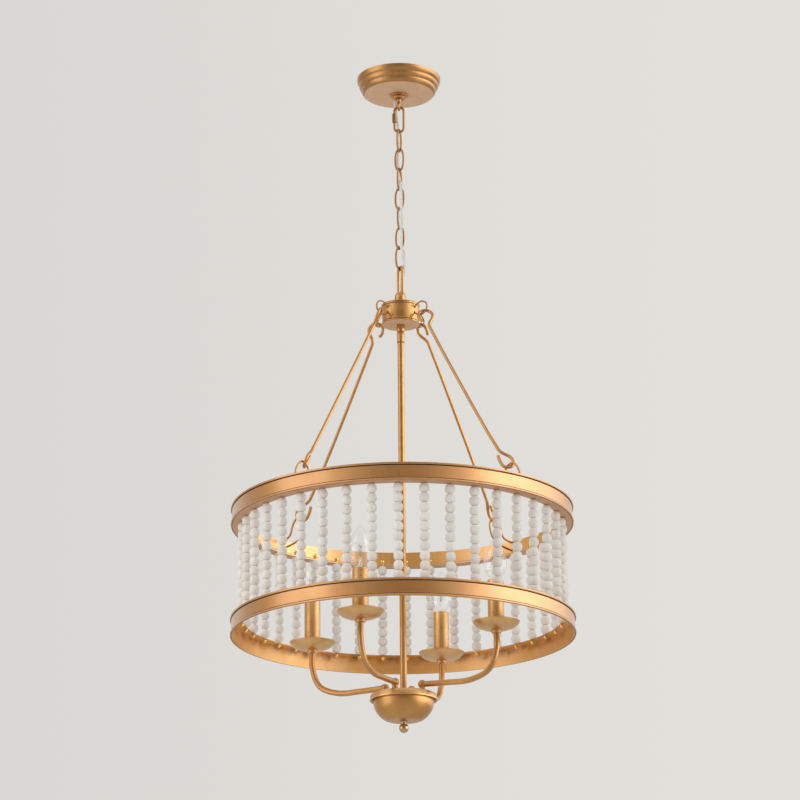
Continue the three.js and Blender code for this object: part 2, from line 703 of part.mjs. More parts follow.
function addBowl() {
  const rod_hole = stem_rod_radius + clearance;
  const skirt_foot = lid_top - lid_height;
  const plate = turnedRing([
    [rod_hole, lid_top - lid_wall], [lid_top_radius, lid_top - lid_wall],
    [lid_skirt_radius - lid_wall, skirt_foot], [lid_skirt_radius, skirt_foot],
    [lid_skirt_radius - lid_wall / 2, lid_top - lid_height / 2], [lid_top_radius, lid_top],
    [rod_hole, lid_top],
  ], bowl_sides);
  const stub_holes = arm_turns.map((turn) => {
    const hole = cylinder(arm_stub_radius + clearance, lid_top - lid_height / 2, lid_top + overrun, 8);
    return hole.translate([arm_knuckle_reach, 0, 0]).rotate([0, 0, turn - 90]);
  });
  chandelier.add(piece('bowl_lid', cut(plate, ...stub_holes), 'gold'));

  const nut_top = lid_top - lid_wall - clearance;
  const nut_body = hexNut(stem_nut_radius, rod_hole, nut_top - stem_nut_height, nut_top);
  chandelier.add(piece('stem_nut', nut_body, 'steel'));

  const outside = bowl_shares.map(([out, up]) => [out * bowl_radius, bowl_floor + up * bowl_depth]);
  const inside = outside.map(([radius, height]) => [
    radius - bowl_wall, height + bowl_wall * (1 - (radius / bowl_radius) ** 2),
  ]);
  chandelier.add(piece('bowl', turnedRing([
    [rod_hole, bowl_floor], ...outside.reverse(), [bowl_radius, bowl_top],
    [bowl_radius - bowl_wall, bowl_top], ...inside, [rod_hole, bowl_floor + bowl_wall],
  ], bowl_sides), 'gold'));

  const ball = (share) => [
    finial_ball_radius * Math.sin(Math.PI * share),
    finial_ball_centre - finial_ball_radius * Math.cos(Math.PI * share),
  ];
  const bore_foot = finial_top - finial_bore_depth;
  chandelier.add(piece('finial', turned([
    [0, ball(0)[1]], ball(0.2), ball(0.4), ball(0.6), ball(0.78),
    [finial_neck_radius * 0.7, finial_top - finial_neck_height * 0.6],
    [finial_neck_radius, finial_top], [rod_hole, finial_top], [rod_hole, bore_foot],
    [0, bore_foot],
  ], 12), 'gold'));
}

function armBody() {
  const arm_top = pan_foot - clearance;
  const knuckle = new THREE.Vector3(arm_knuckle_reach, 0, knuckle_height);
  const bend_start = arm_reach - arm_bend_radius;
  const bend_top = knuckle_height + arm_bend_radius;
  const diagonal = arm_bend_radius * Math.SQRT1_2;
  const points = [
    knuckle,
    new THREE.Vector3((arm_knuckle_reach + bend_start) / 2, 0, knuckle_height - arm_sag),
    new THREE.Vector3(bend_start, 0, knuckle_height - arm_sag / 2),
    new THREE.Vector3(bend_start + diagonal, 0, bend_top - diagonal),
    new THREE.Vector3(arm_reach, 0, bend_top),
    new THREE.Vector3(arm_reach, 0, arm_top),
  ];
  const tube = bar(new THREE.CatmullRomCurve3(points, false, 'centripetal'), arm_radius, 6, 12);
  const ball = solid(new THREE.SphereGeometry(arm_knuckle_radius, 8, 5).rotateX(quarter_turn))
    .translate([arm_knuckle_reach, 0, knuckle_height]);
  const stub_foot = lid_top - arm_stub_length;
  const neck = turned([
    [0, stub_foot], [arm_stub_radius, stub_foot], [arm_stub_radius, lid_top + clearance],
    [arm_neck_radius, lid_top + clearance], [arm_neck_radius, knuckle_height], [0, knuckle_height],
  ], 8).translate([arm_knuckle_reach, 0, 0]);
  const nipple = cylinder(arm_nipple_radius, arm_top - overrun, arm_top + arm_nipple_length, 8)
    .translate([arm_reach, 0, 0]);
  return join(tube, ball, neck, nipple);
}

function addArms() {
  const pan_hole = arm_nipple_radius + clearance;
  const floor_radius = sleeve_radius + clearance;
  const pan_profile = [
    [pan_hole, pan_foot], [pan_collar_radius, pan_foot], [pan_collar_radius, pan_floor - pan_wall],
    [floor_radius + pan_wall, pan_floor - pan_wall],
    [pan_radius * 0.8, pan_floor + pan_depth * 0.4 - pan_wall], [pan_radius, pan_rim],
    [pan_radius - pan_wall, pan_rim], [pan_radius * 0.78, pan_floor + pan_depth * 0.4],
    [floor_radius + pan_wall / 2, pan_floor], [pan_hole, pan_floor],
  ];
  const sleeve_profile = [
    [sleeve_radius - sleeve_wall, sleeve_foot], [sleeve_radius, sleeve_foot],
    [sleeve_radius, sleeve_top], [sleeve_radius - sleeve_wall, sleeve_top],
  ];
  const cup_foot = socket_top - socket_cup_length;
  const cup_bore = bulb_base_radius + clearance;
  const bore_foot = sleeve_top - bulb_base_length - clearance;
  const post_seat = pan_foot - clearance + arm_nipple_length + clearance;
  const socket_profile = [
    [0, post_seat], [pan_hole, post_seat], [pan_hole, sleeve_foot], [socket_post_radius, sleeve_foot],
    [socket_post_radius, cup_foot], [socket_radius, cup_foot], [socket_radius, socket_top],
    [cup_bore, socket_top], [cup_bore, bore_foot], [0, bore_foot],
  ];
  const base_foot = sleeve_top - bulb_base_length;
  const glass_at = (radius_share, height_share, inset) => [
    radius_share * bulb_radius - inset, sleeve_top + height_share * bulb_glass_length,
  ];
  const bulb_shares = [[0.52, 0.06], [0.86, 0.2], [1, 0.38], [0.8, 0.62], [0.38, 0.85]];
  const bulb_profile = [
    [0, glass_at(0, 0.96, 0)[1]],
    ...[...bulb_shares].reverse().map(([out, up]) => glass_at(out, up, bulb_wall)),
    [bulb_base_radius - bulb_wall, sleeve_top], [bulb_base_radius - bulb_wall, base_foot],
    [bulb_base_radius, base_foot], [bulb_base_radius, sleeve_top],
    ...bulb_shares.map(([out, up]) => glass_at(out, up, 0)), glass_at(0, 1, 0),
  ];
  arm_turns.forEach((turn, index) => {
    const number = index + 1;
    const branch = new THREE.Group();
    branch.add(piece(`arm_${number}`, armBody(), 'gold'));
    const candle = new THREE.Group();
    candle.position.x = arm_reach;
    candle.add(
      piece(`drip_pan_${number}`, turnedRing(pan_profile, 12), 'gold'),
      piece(`candle_sleeve_${number}`, turnedRing(sleeve_profile, 12), 'gold'),
      piece(`lamp_socket_${number}`, turned(socket_profile, 8), 'lampholder'),
      piece(`bulb_${number}`, turned(bulb_profile, 8), 'glass'),
    );
    branch.add(candle);
    chandelier.add(face(branch, turn));
  });
}

function addLampCord() {
  const points = cord_route.map((place) => new THREE.Vector3(...place));
  const curve = new THREE.CatmullRomCurve3(points, false, 'centripetal');
  chandelier.add(piece('lamp_cord', bar(curve, cord_radius, cord_sides, cord_steps), 'cord'));
}

addCanopy();
addChain();
addHub();
addRods();
addDrum();
addStrands();
addStem();
addBowl();
addArms();
addLampCord();

export default chandelier;
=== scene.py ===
"""Looks of a beaded drum chandelier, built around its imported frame.

Sizes are in millimetres and become metres when a piece is finished. +Z is up, the ceiling is at
zero, and the front faces -Y. Turns of rods, arms and strands are degrees from the front.
"""

import logging
import math
import random
from dataclasses import dataclass, replace
from enum import Enum
from typing import Callable, Optional, Sequence, Union

import bmesh
import bpy
from mathutils import Matrix, Vector


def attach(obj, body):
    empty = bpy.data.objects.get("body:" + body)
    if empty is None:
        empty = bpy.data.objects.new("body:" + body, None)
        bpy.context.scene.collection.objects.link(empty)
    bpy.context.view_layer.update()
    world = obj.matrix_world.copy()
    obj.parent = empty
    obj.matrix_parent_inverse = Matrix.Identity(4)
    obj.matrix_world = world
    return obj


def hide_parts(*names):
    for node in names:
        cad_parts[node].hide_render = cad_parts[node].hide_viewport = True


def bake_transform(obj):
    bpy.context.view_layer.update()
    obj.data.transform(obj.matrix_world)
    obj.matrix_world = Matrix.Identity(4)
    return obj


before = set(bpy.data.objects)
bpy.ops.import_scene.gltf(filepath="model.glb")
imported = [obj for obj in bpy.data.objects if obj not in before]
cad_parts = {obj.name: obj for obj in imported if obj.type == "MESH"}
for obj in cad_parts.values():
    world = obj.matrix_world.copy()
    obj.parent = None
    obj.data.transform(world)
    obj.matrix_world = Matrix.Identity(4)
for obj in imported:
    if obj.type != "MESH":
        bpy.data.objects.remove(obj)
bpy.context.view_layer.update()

log = logging.getLogger("chandelier")

MILLIMETRE = 0.001
WELD_DISTANCE = 0.0001
SHARP_ANGLE = math.radians(38)
FACES_DOWN = -0.95
MIDDLE = 0.5
MIX_SHARE, MIX_FIRST, MIX_SECOND, MIX_COLOUR = 0, 6, 7, 2
PLUG_SIDES = 16
BEAD_TONE = "bead_tone"
ROD_TURNS = (48, 138, -132, -42)

Point = tuple[float, float]
Section = tuple[Point, ...]
Series = tuple[float, ...]
Place = tuple[float, float, float]
Colour = tuple[float, float, float]
Shape = bmesh.types.BMesh
Face = bmesh.types.BMFace
Piece = bpy.types.Object


# ---- shader expressions


class Signal:
    """A node's output that takes part in Python expressions."""

    def __init__(self, board: "NodeBoard", socket: Optional[bpy.types.NodeSocket]) -> None:
        """Wraps a socket of a board's tree."""
        self.board = board
        self.socket = socket

    def maths(self, operation: str, first: "Value", second: "Value") -> "Signal":
        """Adds a Math node for two values."""
        return self.board.node("ShaderNodeMath", {"operation": operation}, {0: first, 1: second})

    def __add__(self, other: "Value") -> "Signal":
        """Sum of two values."""
        return self.maths("ADD", self, other)

    __radd__ = __add__

    def __sub__(self, other: "Value") -> "Signal":
        """This value less another."""
        return self.maths("SUBTRACT", self, other)

    def __rsub__(self, other: "Value") -> "Signal":
        """Another value less this one."""
        return self.maths("SUBTRACT", other, self)

    def __mul__(self, other: "Value") -> "Signal":
        """Product of two values."""
        return self.maths("MULTIPLY", self, other)

    __rmul__ = __mul__


Value = Union[float, int, tuple, Signal]
Tone = Union[Colour, Signal]


class NodeBoard:
    """Places nodes in the tree of a material or a world."""

    def __init__(self, owner: Union[bpy.types.Material, bpy.types.World]) -> None:
        """Empties the owner's tree and keeps it."""
        owner.use_nodes = True
        self.tree = owner.node_tree
        self.tree.nodes.clear()

    def node(
        self,
        kind: str,
        settings: Optional[dict] = None,
        inputs: Optional[dict] = None,
        output: Union[int, str] = 0,
    ) -> Signal:
        """Adds a node.

        Args:
            kind: The node's type.
            settings: Its properties, set first.
            inputs: Values or signals, by the socket's name or number.
            output: The output that the returned signal stands for.

        Returns:
            The chosen output as a signal.
        """
        made = self.tree.nodes.new(kind)
        for key, value in (settings or {}).items():
            setattr(made, key, value)
        for key, value in (inputs or {}).items():
            if isinstance(value, Signal):
                self.tree.links.new(value.socket, made.inputs[key])
            else:
                made.inputs[key].default_value = value
        return Signal(self, made.outputs[output] if len(made.outputs) else None)

    def place(self) -> Signal:
        """Object coordinates."""
        return self.node("ShaderNodeTexCoord", output="Object")

    def stretched(self, scale: Place) -> Signal:
        """Object coordinates with each axis scaled."""
        return self.node("ShaderNodeMapping", inputs={"Vector": self.place(), "Scale": scale})

    def axis(self, vector: Signal, name: str) -> Signal:
        """One axis of a vector."""
        return self.node("ShaderNodeSeparateXYZ", inputs={"Vector": vector}, output=name)

    def noise(self, vector: Signal, scale: float, detail: float = 2.0) -> Signal:
        """Noise from zero to one, at a scale per metre."""
        inputs = {"Vector": vector, "Scale": scale, "Detail": detail}
        return self.node("ShaderNodeTexNoise", inputs=inputs)

    def levels(self, value: Signal, span: Point) -> Signal:
        """Stretches a value so that the span's start becomes zero and its end becomes one."""
        inputs = {"Value": value, "From Min": span[0], "From Max": span[1]}
        return self.node("ShaderNodeMapRange", {"clamp": True}, inputs)

    def blend(self, share: Value, first: Tone, second: Tone) -> Signal:
        """Mixes two colours."""
        ends = [end if isinstance(end, Signal) else (*end, 1.0) for end in (first, second)]
        inputs = {MIX_SHARE: share, MIX_FIRST: ends[0], MIX_SECOND: ends[1]}
        return self.node("ShaderNodeMix", {"data_type": "RGBA"}, inputs, MIX_COLOUR)

    def bump(self, height: Signal, strength: float, distance: float) -> Signal:
        """A normal from a height, with the distance in metres."""
        inputs = {"Height": height, "Strength": strength, "Distance": distance}
        return self.node("ShaderNodeBump", inputs=inputs)

    def rays(self) -> tuple[Signal, Signal]:
        """Tells rays apart.

        Returns:
            Whether a ray is the camera's or came through glass, and whether it is a reflection.
        """
        camera, clear, glossy = (
            self.node("ShaderNodeLightPath", output=kind)
            for kind in ("Is Camera Ray", "Is Transmission Ray", "Is Glossy Ray")
        )
        return camera + clear, glossy

    def surface(self, **inputs: Value) -> Signal:
        """A Principled shader on the output; underscores in names stand for spaces."""
        named = {key.replace("_", " "): value for key, value in inputs.items()}
        shader = self.node("ShaderNodeBsdfPrincipled", inputs=named)
        return self.node("ShaderNodeOutputMaterial", inputs={"Surface": shader})


# ---- finishes


class Brushing(Enum):
    """Which way a metal's fine lines run, as a scale of Object coordinates."""

    NONE = (90.0, 90.0, 90.0)
    ROUND = (6.0, 6.0, 1400.0)
    UPRIGHT = (650.0, 650.0, 9.0)


@dataclass(frozen=True)
class Look:
    """A procedural material that is made at its first use."""

    name: str

    @property
    def material(self) -> bpy.types.Material:
        """The material.

        Returns:
            The one that is there under the look's name, or else a new one.
        """
        made = bpy.data.materials.get(self.name)
        if made is None:
            made = bpy.data.materials.new(self.name)
            self.paint(NodeBoard(made))
        return made

    def paint(self, board: NodeBoard) -> None:
        """Fills the material's tree, in each kind of look."""
        raise NotImplementedError


@dataclass(frozen=True)
class Gilding(Look):
    """Antique gold metal under a satin lacquer, with a cloudy tone, dark specks and fine lines."""

    tone: Colour
    shade: Colour
    roughness: float
    brushing: Brushing = Brushing.NONE
    specks: float = 0.0
    metallic: float = 1.0
    # Height span, in metres, of dark patches of painted shade that stand in for shadows under a
    # flange and its pins.
    painted_shade_heights: Optional[Point] = None
    lacquer: float = 0.45
    lacquer_index: float = 1.9
    lacquer_roughness: float = 0.25
    # The colour of the real dark specks and of the painted shade patches.
    dark: Colour = (0.045, 0.026, 0.012)
    cloud_scale: float = 34.0
    cloud_span: Point = (0.32, 0.7)
    cloud_share: float = 0.6
    cloud_swing: float = 0.08
    line_span: Point = (0.3, 0.7)
    line_swing: float = 0.16
    line_strength: float = 0.35
    line_depth: float = 0.00004
    speck_scale: float = 300.0
    speck_span: Point = (0.70, 0.76)
    speck_swing: float = 0.3
    # Noise scale, span and share of the painted shade patches.
    painted_shade_scale: float = 75.0
    painted_shade_span: Point = (0.36, 0.66)
    painted_shade_share: float = 0.6

    def paint(self, board: NodeBoard) -> None:
        """Lays clouds and fine lines, then specks, then patches of painted shade between two
        heights.

        Args:
            board: The material's empty tree.
        """
        place = board.place()
        cloud = board.levels(board.noise(place, self.cloud_scale, detail=3.0), self.cloud_span)
        lines = board.noise(board.stretched(self.brushing.value), scale=1.0)
        specks = board.levels(board.noise(place, self.speck_scale, detail=1.0), self.speck_span)
        spots = specks * self.specks
        # Painted shade: dark patches between two heights, standing in for shadows under a flange
        # and its pins.
        if self.painted_shade_heights:
            near = board.levels(board.axis(place, "Z"), self.painted_shade_heights)
            painted_shade_noise = board.noise(place, self.painted_shade_scale, detail=1.0)
            spots = spots + board.levels(painted_shade_noise, self.painted_shade_span) * near * self.painted_shade_share
        streaks = board.levels(lines, self.line_span)
        mottled = cloud * self.cloud_share + streaks * (1 - self.cloud_share)
        board.surface(
            Base_Color=board.blend(spots, board.blend(mottled, self.shade, self.tone), self.dark),
            Metallic=self.metallic,
            Roughness=self.roughness + (lines - MIDDLE) * self.line_swing
            + (MIDDLE - cloud) * self.cloud_swing + spots * self.speck_swing,
            Coat_Weight=self.lacquer,
            Coat_Roughness=self.lacquer_roughness,
            Coat_IOR=self.lacquer_index,
            Normal=board.bump(lines, self.line_strength, self.line_depth),
        )


@dataclass(frozen=True)
class Whitewash(Look):
    """Chalky bead surface, with a tone for each bead held in its attribute."""

    light: Colour = (0.86, 0.825, 0.785)
    grey: Colour = (0.75, 0.695, 0.635)
    tone_share: float = 0.65
    roughness: float = 0.62
    grain_stretch: Place = (420.0, 420.0, 90.0)
    grain_span: Point = (0.35, 0.7)
    grain_swing: float = 0.15
    grain_strength: float = 0.3
    grain_depth: float = 0.0002

    def paint(self, board: NodeBoard) -> None:
        """Mixes each bead's tone with the grain.

        Args:
            board: The material's empty tree.
        """
        tone = board.node("ShaderNodeAttribute", {"attribute_name": BEAD_TONE}, output="Fac")
        stretched = board.stretched(self.grain_stretch)
        grain = board.levels(board.noise(stretched, scale=1.0, detail=3.0), self.grain_span)
        paleness = tone * self.tone_share + grain * (1 - self.tone_share)
        board.surface(
            Base_Color=board.blend(paleness, self.grey, self.light),
            Roughness=self.roughness + (MIDDLE - grain) * self.grain_swing,
            Normal=board.bump(grain, self.grain_strength, self.grain_depth),
        )


@dataclass(frozen=True)
class ClearGlass(Look):
    """Thin clear glass, seen through in the middle and bright with reflections at its rims."""

    middle: float
    rim: float
    tint: Colour = (0.93, 0.93, 0.92)
    roughness: float = 0.05
    haze_scale: float = 60.0
    haze_span: Point = (0.3, 0.8)
    haze_share: float = 0.3
    haze_swing: float = 0.05

    def paint(self, board: NodeBoard) -> None:
        """Makes the glass denser where it is seen aslant.

        Args:
            board: The material's empty tree.
        """
        aslant = board.node("ShaderNodeLayerWeight", inputs={"Blend": MIDDLE}, output="Facing")
        haze = board.levels(board.noise(board.place(), self.haze_scale), self.haze_span)
        body = (haze * self.haze_share + (1 - self.haze_share)) * self.middle
        board.surface(
            Base_Color=(*self.tint, 1.0),
            Metallic=1.0,
            Roughness=self.roughness + haze * self.haze_swing,
            Alpha=aslant * aslant * aslant * self.rim + body,
        )


@dataclass(frozen=True)
class Plain(Look):
    """A cloudy plain finish for plastic, thread, steel and wire."""

    tone: Colour
    shade: Colour
    roughness: float
    metallic: float = 0.0
    opacity: float = 1.0
    cloud_scale: float = 150.0
    cloud_span: Point = (0.3, 0.7)
    cloud_swing: float = 0.12
    grain_strength: float = 0.2
    grain_depth: float = 0.00003

    def paint(self, board: NodeBoard) -> None:
        """Varies the tone and the polish with one cloud.

        Args:
            board: The material's empty tree.
        """
        noise = board.noise(board.place(), self.cloud_scale, detail=3.0)
        cloud = board.levels(noise, self.cloud_span)
        board.surface(
            Base_Color=board.blend(cloud, self.shade, self.tone),
            Metallic=self.metallic,
            Roughness=self.roughness + (cloud - MIDDLE) * self.cloud_swing,
            Alpha=self.opacity,
            Normal=board.bump(cloud, self.grain_strength, self.grain_depth),
        )


class Finish(Enum):
    """Every finish of the chandelier."""

    GOLD = Gilding("antique_gold", (0.65, 0.325, 0.085), (0.50, 0.235, 0.055), 0.37, specks=0.3)
    DISH = Gilding(
        "antique_gold_dish", (0.56, 0.28, 0.075), (0.43, 0.20, 0.05), 0.34, specks=0.4
    )
    # Painted shade: a darker copy of the gold for thin round wire, standing in for the dimmer
    # reflections it shows; used for the chain, the screw link, its nut and the cup rings.
    SHADED_WIRE = Gilding(
        "gold_wire_painted_shade", (0.51, 0.245, 0.065), (0.36, 0.165, 0.042), 0.4, specks=0.5
    )
    BAND = Gilding(
        "brushed_gold_band", (0.66, 0.29, 0.045), (0.56, 0.235, 0.032), 0.40, Brushing.ROUND,
        specks=0.2, lacquer=1.0, lacquer_index=2.05,
    )
    LINING = Gilding(
        "gold_band_lining", (0.90, 0.475, 0.105), (0.78, 0.395, 0.075), 0.46, Brushing.UPRIGHT,
        specks=0.3, lacquer=0.9, lacquer_index=2.1,
    )
    # Painted shade: the lower band's lining is darkened in patches just under its flange, standing
    # in for the shadows of the flange and the pins.
    SHADED_LINING = replace(LINING, name="band_lining_painted_shade", painted_shade_heights=(-0.880, -0.868))
    # Painted reflection: a lighter copy of the gold for the pans' downward faces, standing in for
    # the pale reflection they show.
    LIT_PAN_UNDERSIDE = Gilding(
        "satin_gold_pan_painted_reflection", (0.78, 0.45, 0.16), (0.64, 0.355, 0.12), 0.34, metallic=0.93, lacquer=0.6
    )
    # Painted highlight: a brighter copy of the gold for the bowl's lid, standing in for the light
    # on its top.
    LIT_LID = Gilding(
        "gold_lid_painted_highlight", (0.80, 0.47, 0.165), (0.68, 0.38, 0.12), 0.38, metallic=0.9, lacquer=0.8
    )
    SLEEVE = Gilding(
        "gold_leaf_sleeve", (0.78, 0.425, 0.13), (0.61, 0.32, 0.085), 0.36, Brushing.UPRIGHT,
        specks=0.9, lacquer=0.7,
    )
    # Painted shade: faces that point down get a less saturated, matt copy of the gold, standing in
    # for the shade under the dish and the cup.
    SHADED_UNDERSIDE = Gilding(
        "matt_gold_underside_painted_shade", (0.80, 0.515, 0.325), (0.68, 0.43, 0.265), 0.6, metallic=0.25,
        lacquer=0.0,
    )
    # Painted shade: a darker matt copy of the gold under the upper band's flange, standing in for
    # the shade between the band and the beads.
    SHADED_FLANGE = Gilding(
        "matt_flange_underside_painted_shade", (0.68, 0.43, 0.26), (0.56, 0.34, 0.20), 0.6, metallic=0.3,
        lacquer=0.0,
    )
    # Dark patina in the grooves together with painted shade, also used for the dark lines over the
    # cup's lip, under its cap and under the stem's sleeve.
    PATINA_AND_SHADE = Gilding(
        "groove_patina_and_painted_shade", (0.17, 0.095, 0.04), (0.10, 0.055, 0.022), 0.5, lacquer=0.1
    )
    POLISHED = Gilding("polished_gold_ball", (0.62, 0.40, 0.19), (0.50, 0.31, 0.14), 0.2)
    BRIGHT = Gilding("bright_gold_pin", (0.95, 0.66, 0.20), (0.85, 0.55, 0.13), 0.13)
    BEAD = Whitewash("whitewashed_beads")
    GLASS = ClearGlass("clear_bulb_glass", middle=0.12, rim=0.78)
    STEM_GLASS = ClearGlass("clear_stem_glass", middle=0.2, rim=0.6)
    THREAD = Plain("waxed_thread", (0.62, 0.52, 0.38), (0.50, 0.40, 0.28), 0.7)
    STEEL = Plain("plated_steel", (0.60, 0.59, 0.56), (0.47, 0.46, 0.44), 0.36, metallic=1.0)
    HOLDER = Plain("lampholder_plastic", (0.075, 0.065, 0.055), (0.05, 0.045, 0.04), 0.55)
    CORD = Plain(
        "clear_flex", (0.86, 0.85, 0.825), (0.82, 0.805, 0.775), 0.5, opacity=0.66,
        cloud_scale=60.0,
    )
    FILAMENT = Plain("filament_wire", (0.33, 0.31, 0.29), (0.22, 0.20, 0.19), 0.35, metallic=1.0)


FinishRule = Callable[[Face], Finish]


# ---- shapes


def facing(turn: float) -> Matrix:
    """The rotation that takes +X to a turn from the front."""
    return Matrix.Rotation(math.radians(turn - 90), 4, "Z")


def standing(turn: float, height: float) -> Matrix:
    """Turns the XZ plane about the vertical and lifts it to a height."""
    return Matrix.Translation((0, 0, height)) @ Matrix.Rotation(math.radians(turn), 4, "Z")


def span_point(knots: Sequence[Vector], share: float) -> Vector:
    """Finds a point between the middle two of four knots.

    Args:
        knots: The four knots of a centripetal Catmull-Rom span.
        share: The share of the way from the second knot to the third.

    Returns:
        The point.
    """
    times = [0.0]
    for first, second in zip(knots, knots[1:]):
        times.append(times[-1] + math.sqrt((second - first).length))
    now = times[1] + share * (times[2] - times[1])

    def between(first: Vector, second: Vector, start: float, end: float) -> Vector:
        """The point between two others, at a share of the time between them."""
        return first.lerp(second, (now - start) / (end - start))

    sides = [between(knots[i], knots[i + 1], times[i], times[i + 1]) for i in range(3)]
    halves = [between(sides[i], sides[i + 1], times[i], times[i + 2]) for i in range(2)]
    return between(halves[0], halves[1], times[1], times[2])


def smooth_path(points: Sequence[Vector], steps: int, closed: bool = False) -> list[Vector]:
    """Rounds a line of points with a centripetal Catmull-Rom curve.

    Args:
        points: The points that the curve passes through.
        steps: How many pieces each span is split into.
        closed: Whether the last point joins the first.

    Returns:
        The points along the curve.
    """
    count = len(points)
    path: list[Vector] = []
    for span in range(count if closed else count - 1):
        if closed:
            knots = [points[(span + offset) % count] for offset in (-1, 0, 1, 2)]
        else:
            before = points[span - 1] if span else 2 * points[0] - points[1]
            after = points[span + 2] if span + 2 < count else 2 * points[-1] - points[-2]
            knots = [before, points[span], points[span + 1], after]
        path += [span_point(knots, step / steps) for step in range(steps)]
    return path if closed else [*path, points[-1].copy()]


def smooth_section(pairs: Sequence[Point], steps: int) -> list[Vector]:
    """Rounds a line in the XZ plane that is given in pairs of reach and height."""
    return smooth_path([Vector((reach, 0, height)) for reach, height in pairs], steps)


def oval_path(
    width: float, inner_length: float, wire: float, steps: int, ellipse: float = 0.0
) -> list[Vector]:
    """The middle line of a chain link of round wire, in the XZ plane.

    Args:
        width: The link's outer width.
        inner_length: The length of its opening.
        wire: The wire's radius.
        steps: How many pieces each half circle is split into.
        ellipse: How far the shape goes from straight sides to an ellipse.

    Returns:
        The points, from the right side over the top.
    """
    bend = width / 2 - wire
    crown = inner_length / 2 + wire
    top = []
    for angle in (math.pi * step / steps for step in range(steps + 1)):
        straight = crown - bend + bend * math.sin(angle)
        height = straight + ellipse * (crown * math.sin(angle) - straight)
        top.append(Vector((bend * math.cos(angle), 0, height)))
    return top + [Vector((-point.x, 0, -point.z)) for point in top]


def lathe(section: Sequence[Point], steps: int, rounding: float = 0.0) -> Shape:
    """Spins a section about the vertical.

    Args:
        section: Pairs of radius and height; the last joins the first unless that is on the axis.
        steps: How many pieces the full circle is split into.
        rounding: How far the section's corners are rounded.

    Returns:
        The spun shape.
    """
    shape = bmesh.new()
    corners = [shape.verts.new((radius, 0, height)) for radius, height in section]
    for first, second in zip(corners, corners[1:]):
        shape.edges.new((first, second))
    if section[0][0] > 0:
        shape.edges.new((corners[-1], corners[0]))
    if rounding:
        bends = [corner for corner in corners if len(corner.link_edges) == 2]
        bmesh.ops.bevel(
            shape, geom=bends, offset=rounding, affect="VERTICES", segments=2, profile=0.5,
            material=-1,
        )
    bmesh.ops.spin(
        shape, geom=shape.verts[:] + shape.edges[:], axis=(0, 0, 1), angle=2 * math.pi,
        steps=steps, use_merge=True,
    )
    bmesh.ops.remove_doubles(shape, verts=shape.verts, dist=WELD_DISTANCE)
    return shape


def path_frames(path: Sequence[Vector], closed: bool) -> list[Matrix]:
    """Finds places for a section along a path, with no twist between them.

    Args:
        path: The points of the section's middle.
        closed: Whether the path ends where it starts.

    Returns:
        A place for each point, which faces along the path.
    """
    count = len(path)
    frames: list[Matrix] = []
    side = heading = Vector()
    for index, point in enumerate(path):
        before = path[index - 1] if closed or index else point
        after = path[(index + 1) % count] if closed or index < count - 1 else point
        ahead = (after - before).normalized()
        if index:
            side = heading.rotation_difference(ahead) @ side
        else:
            side = ahead.orthogonal().normalized()
        heading = ahead
        turned = Matrix((side, ahead.cross(side), ahead)).transposed().to_4x4()
        frames.append(Matrix.Translation(point) @ turned)
    return frames


def sweep(
    path: Sequence[Vector], radius: float, sides: int, closed: bool = False, rounding: float = 0.0
) -> Shape:
    """Draws a round section along a path.

    Args:
        path: The points of the section's middle.
        radius: The section's radius.
        sides: How many sides the section has.
        closed: Whether the path ends where it starts.
        rounding: How far the ends of an open bar are rounded.

    Returns:
        A closed shape.
    """
    places = [place @ Matrix.Scale(radius, 4) for place in path_frames(path, closed)]
    shape = bmesh.new()
    bmesh.ops.create_circle(shape, segments=sides, radius=1, matrix=places[0])
    edges = shape.edges[:]
    for last, following in zip(places, places[1:]):
        made = bmesh.ops.extrude_edge_only(shape, edges=edges)["geom"]
        corners = [item for item in made if isinstance(item, bmesh.types.BMVert)]
        edges = [item for item in made if isinstance(item, bmesh.types.BMEdge) and item.is_boundary]
        bmesh.ops.transform(shape, matrix=following @ last.inverted(), verts=corners)
    open_edges = [edge for edge in shape.edges if edge.is_boundary]
    if closed:
        bmesh.ops.bridge_loops(shape, edges=open_edges)
        return shape
    bmesh.ops.holes_fill(shape, edges=open_edges, sides=sides)
    if rounding:
        bmesh.ops.bevel(
            shape, geom=open_edges, offset=rounding, affect="EDGES", segments=3, profile=0.5,
            material=-1,
        )
    return shape


def ball(radius: float, place: Place, around: int = 24, upward: int = 14) -> Shape:
    """Makes a ball.

    Args:
        radius: The ball's radius.
        place: Its centre.
        around: How many sides it has around the vertical.
        upward: How many rows of faces it has.

    Returns:
        The ball's shape.
    """
    shape = bmesh.new()
    centre = Matrix.Translation(place)
    bmesh.ops.create_uvsphere(
        shape, u_segments=around, v_segments=upward, radius=radius, matrix=centre
    )
    return shape


def plug(radii: Point, length: float, place: Matrix) -> Shape:
    """Makes a bar of oval section, used as a cutter.

    Args:
        radii: The section's half widths.
        length: The bar's length along Z.
        place: Where the bar's middle goes.

    Returns:
        The bar's shape.
    """
    shape = bmesh.new()
    oval = place @ Matrix.Diagonal((*radii, 1, 1))
    bmesh.ops.create_cone(
        shape, cap_ends=True, segments=PLUG_SIDES, radius1=1, radius2=1, depth=length, matrix=oval
    )
    return shape


def mesh_of(name: str, shape: Shape) -> bpy.types.Mesh:
    """Makes a mesh of a shape.

    Args:
        name: The mesh's name.
        shape: The shape, which is used up.

    Returns:
        The mesh.
    """
    mesh = bpy.data.meshes.new(name)
    shape.to_mesh(mesh)
    shape.free()
    return mesh


def set_out(name: str, data: bpy.types.ID) -> Piece:
    """A new object in the scene for a mesh, lamp or camera."""
    item = bpy.data.objects.new(name, data)
    bpy.context.scene.collection.objects.link(item)
    return item


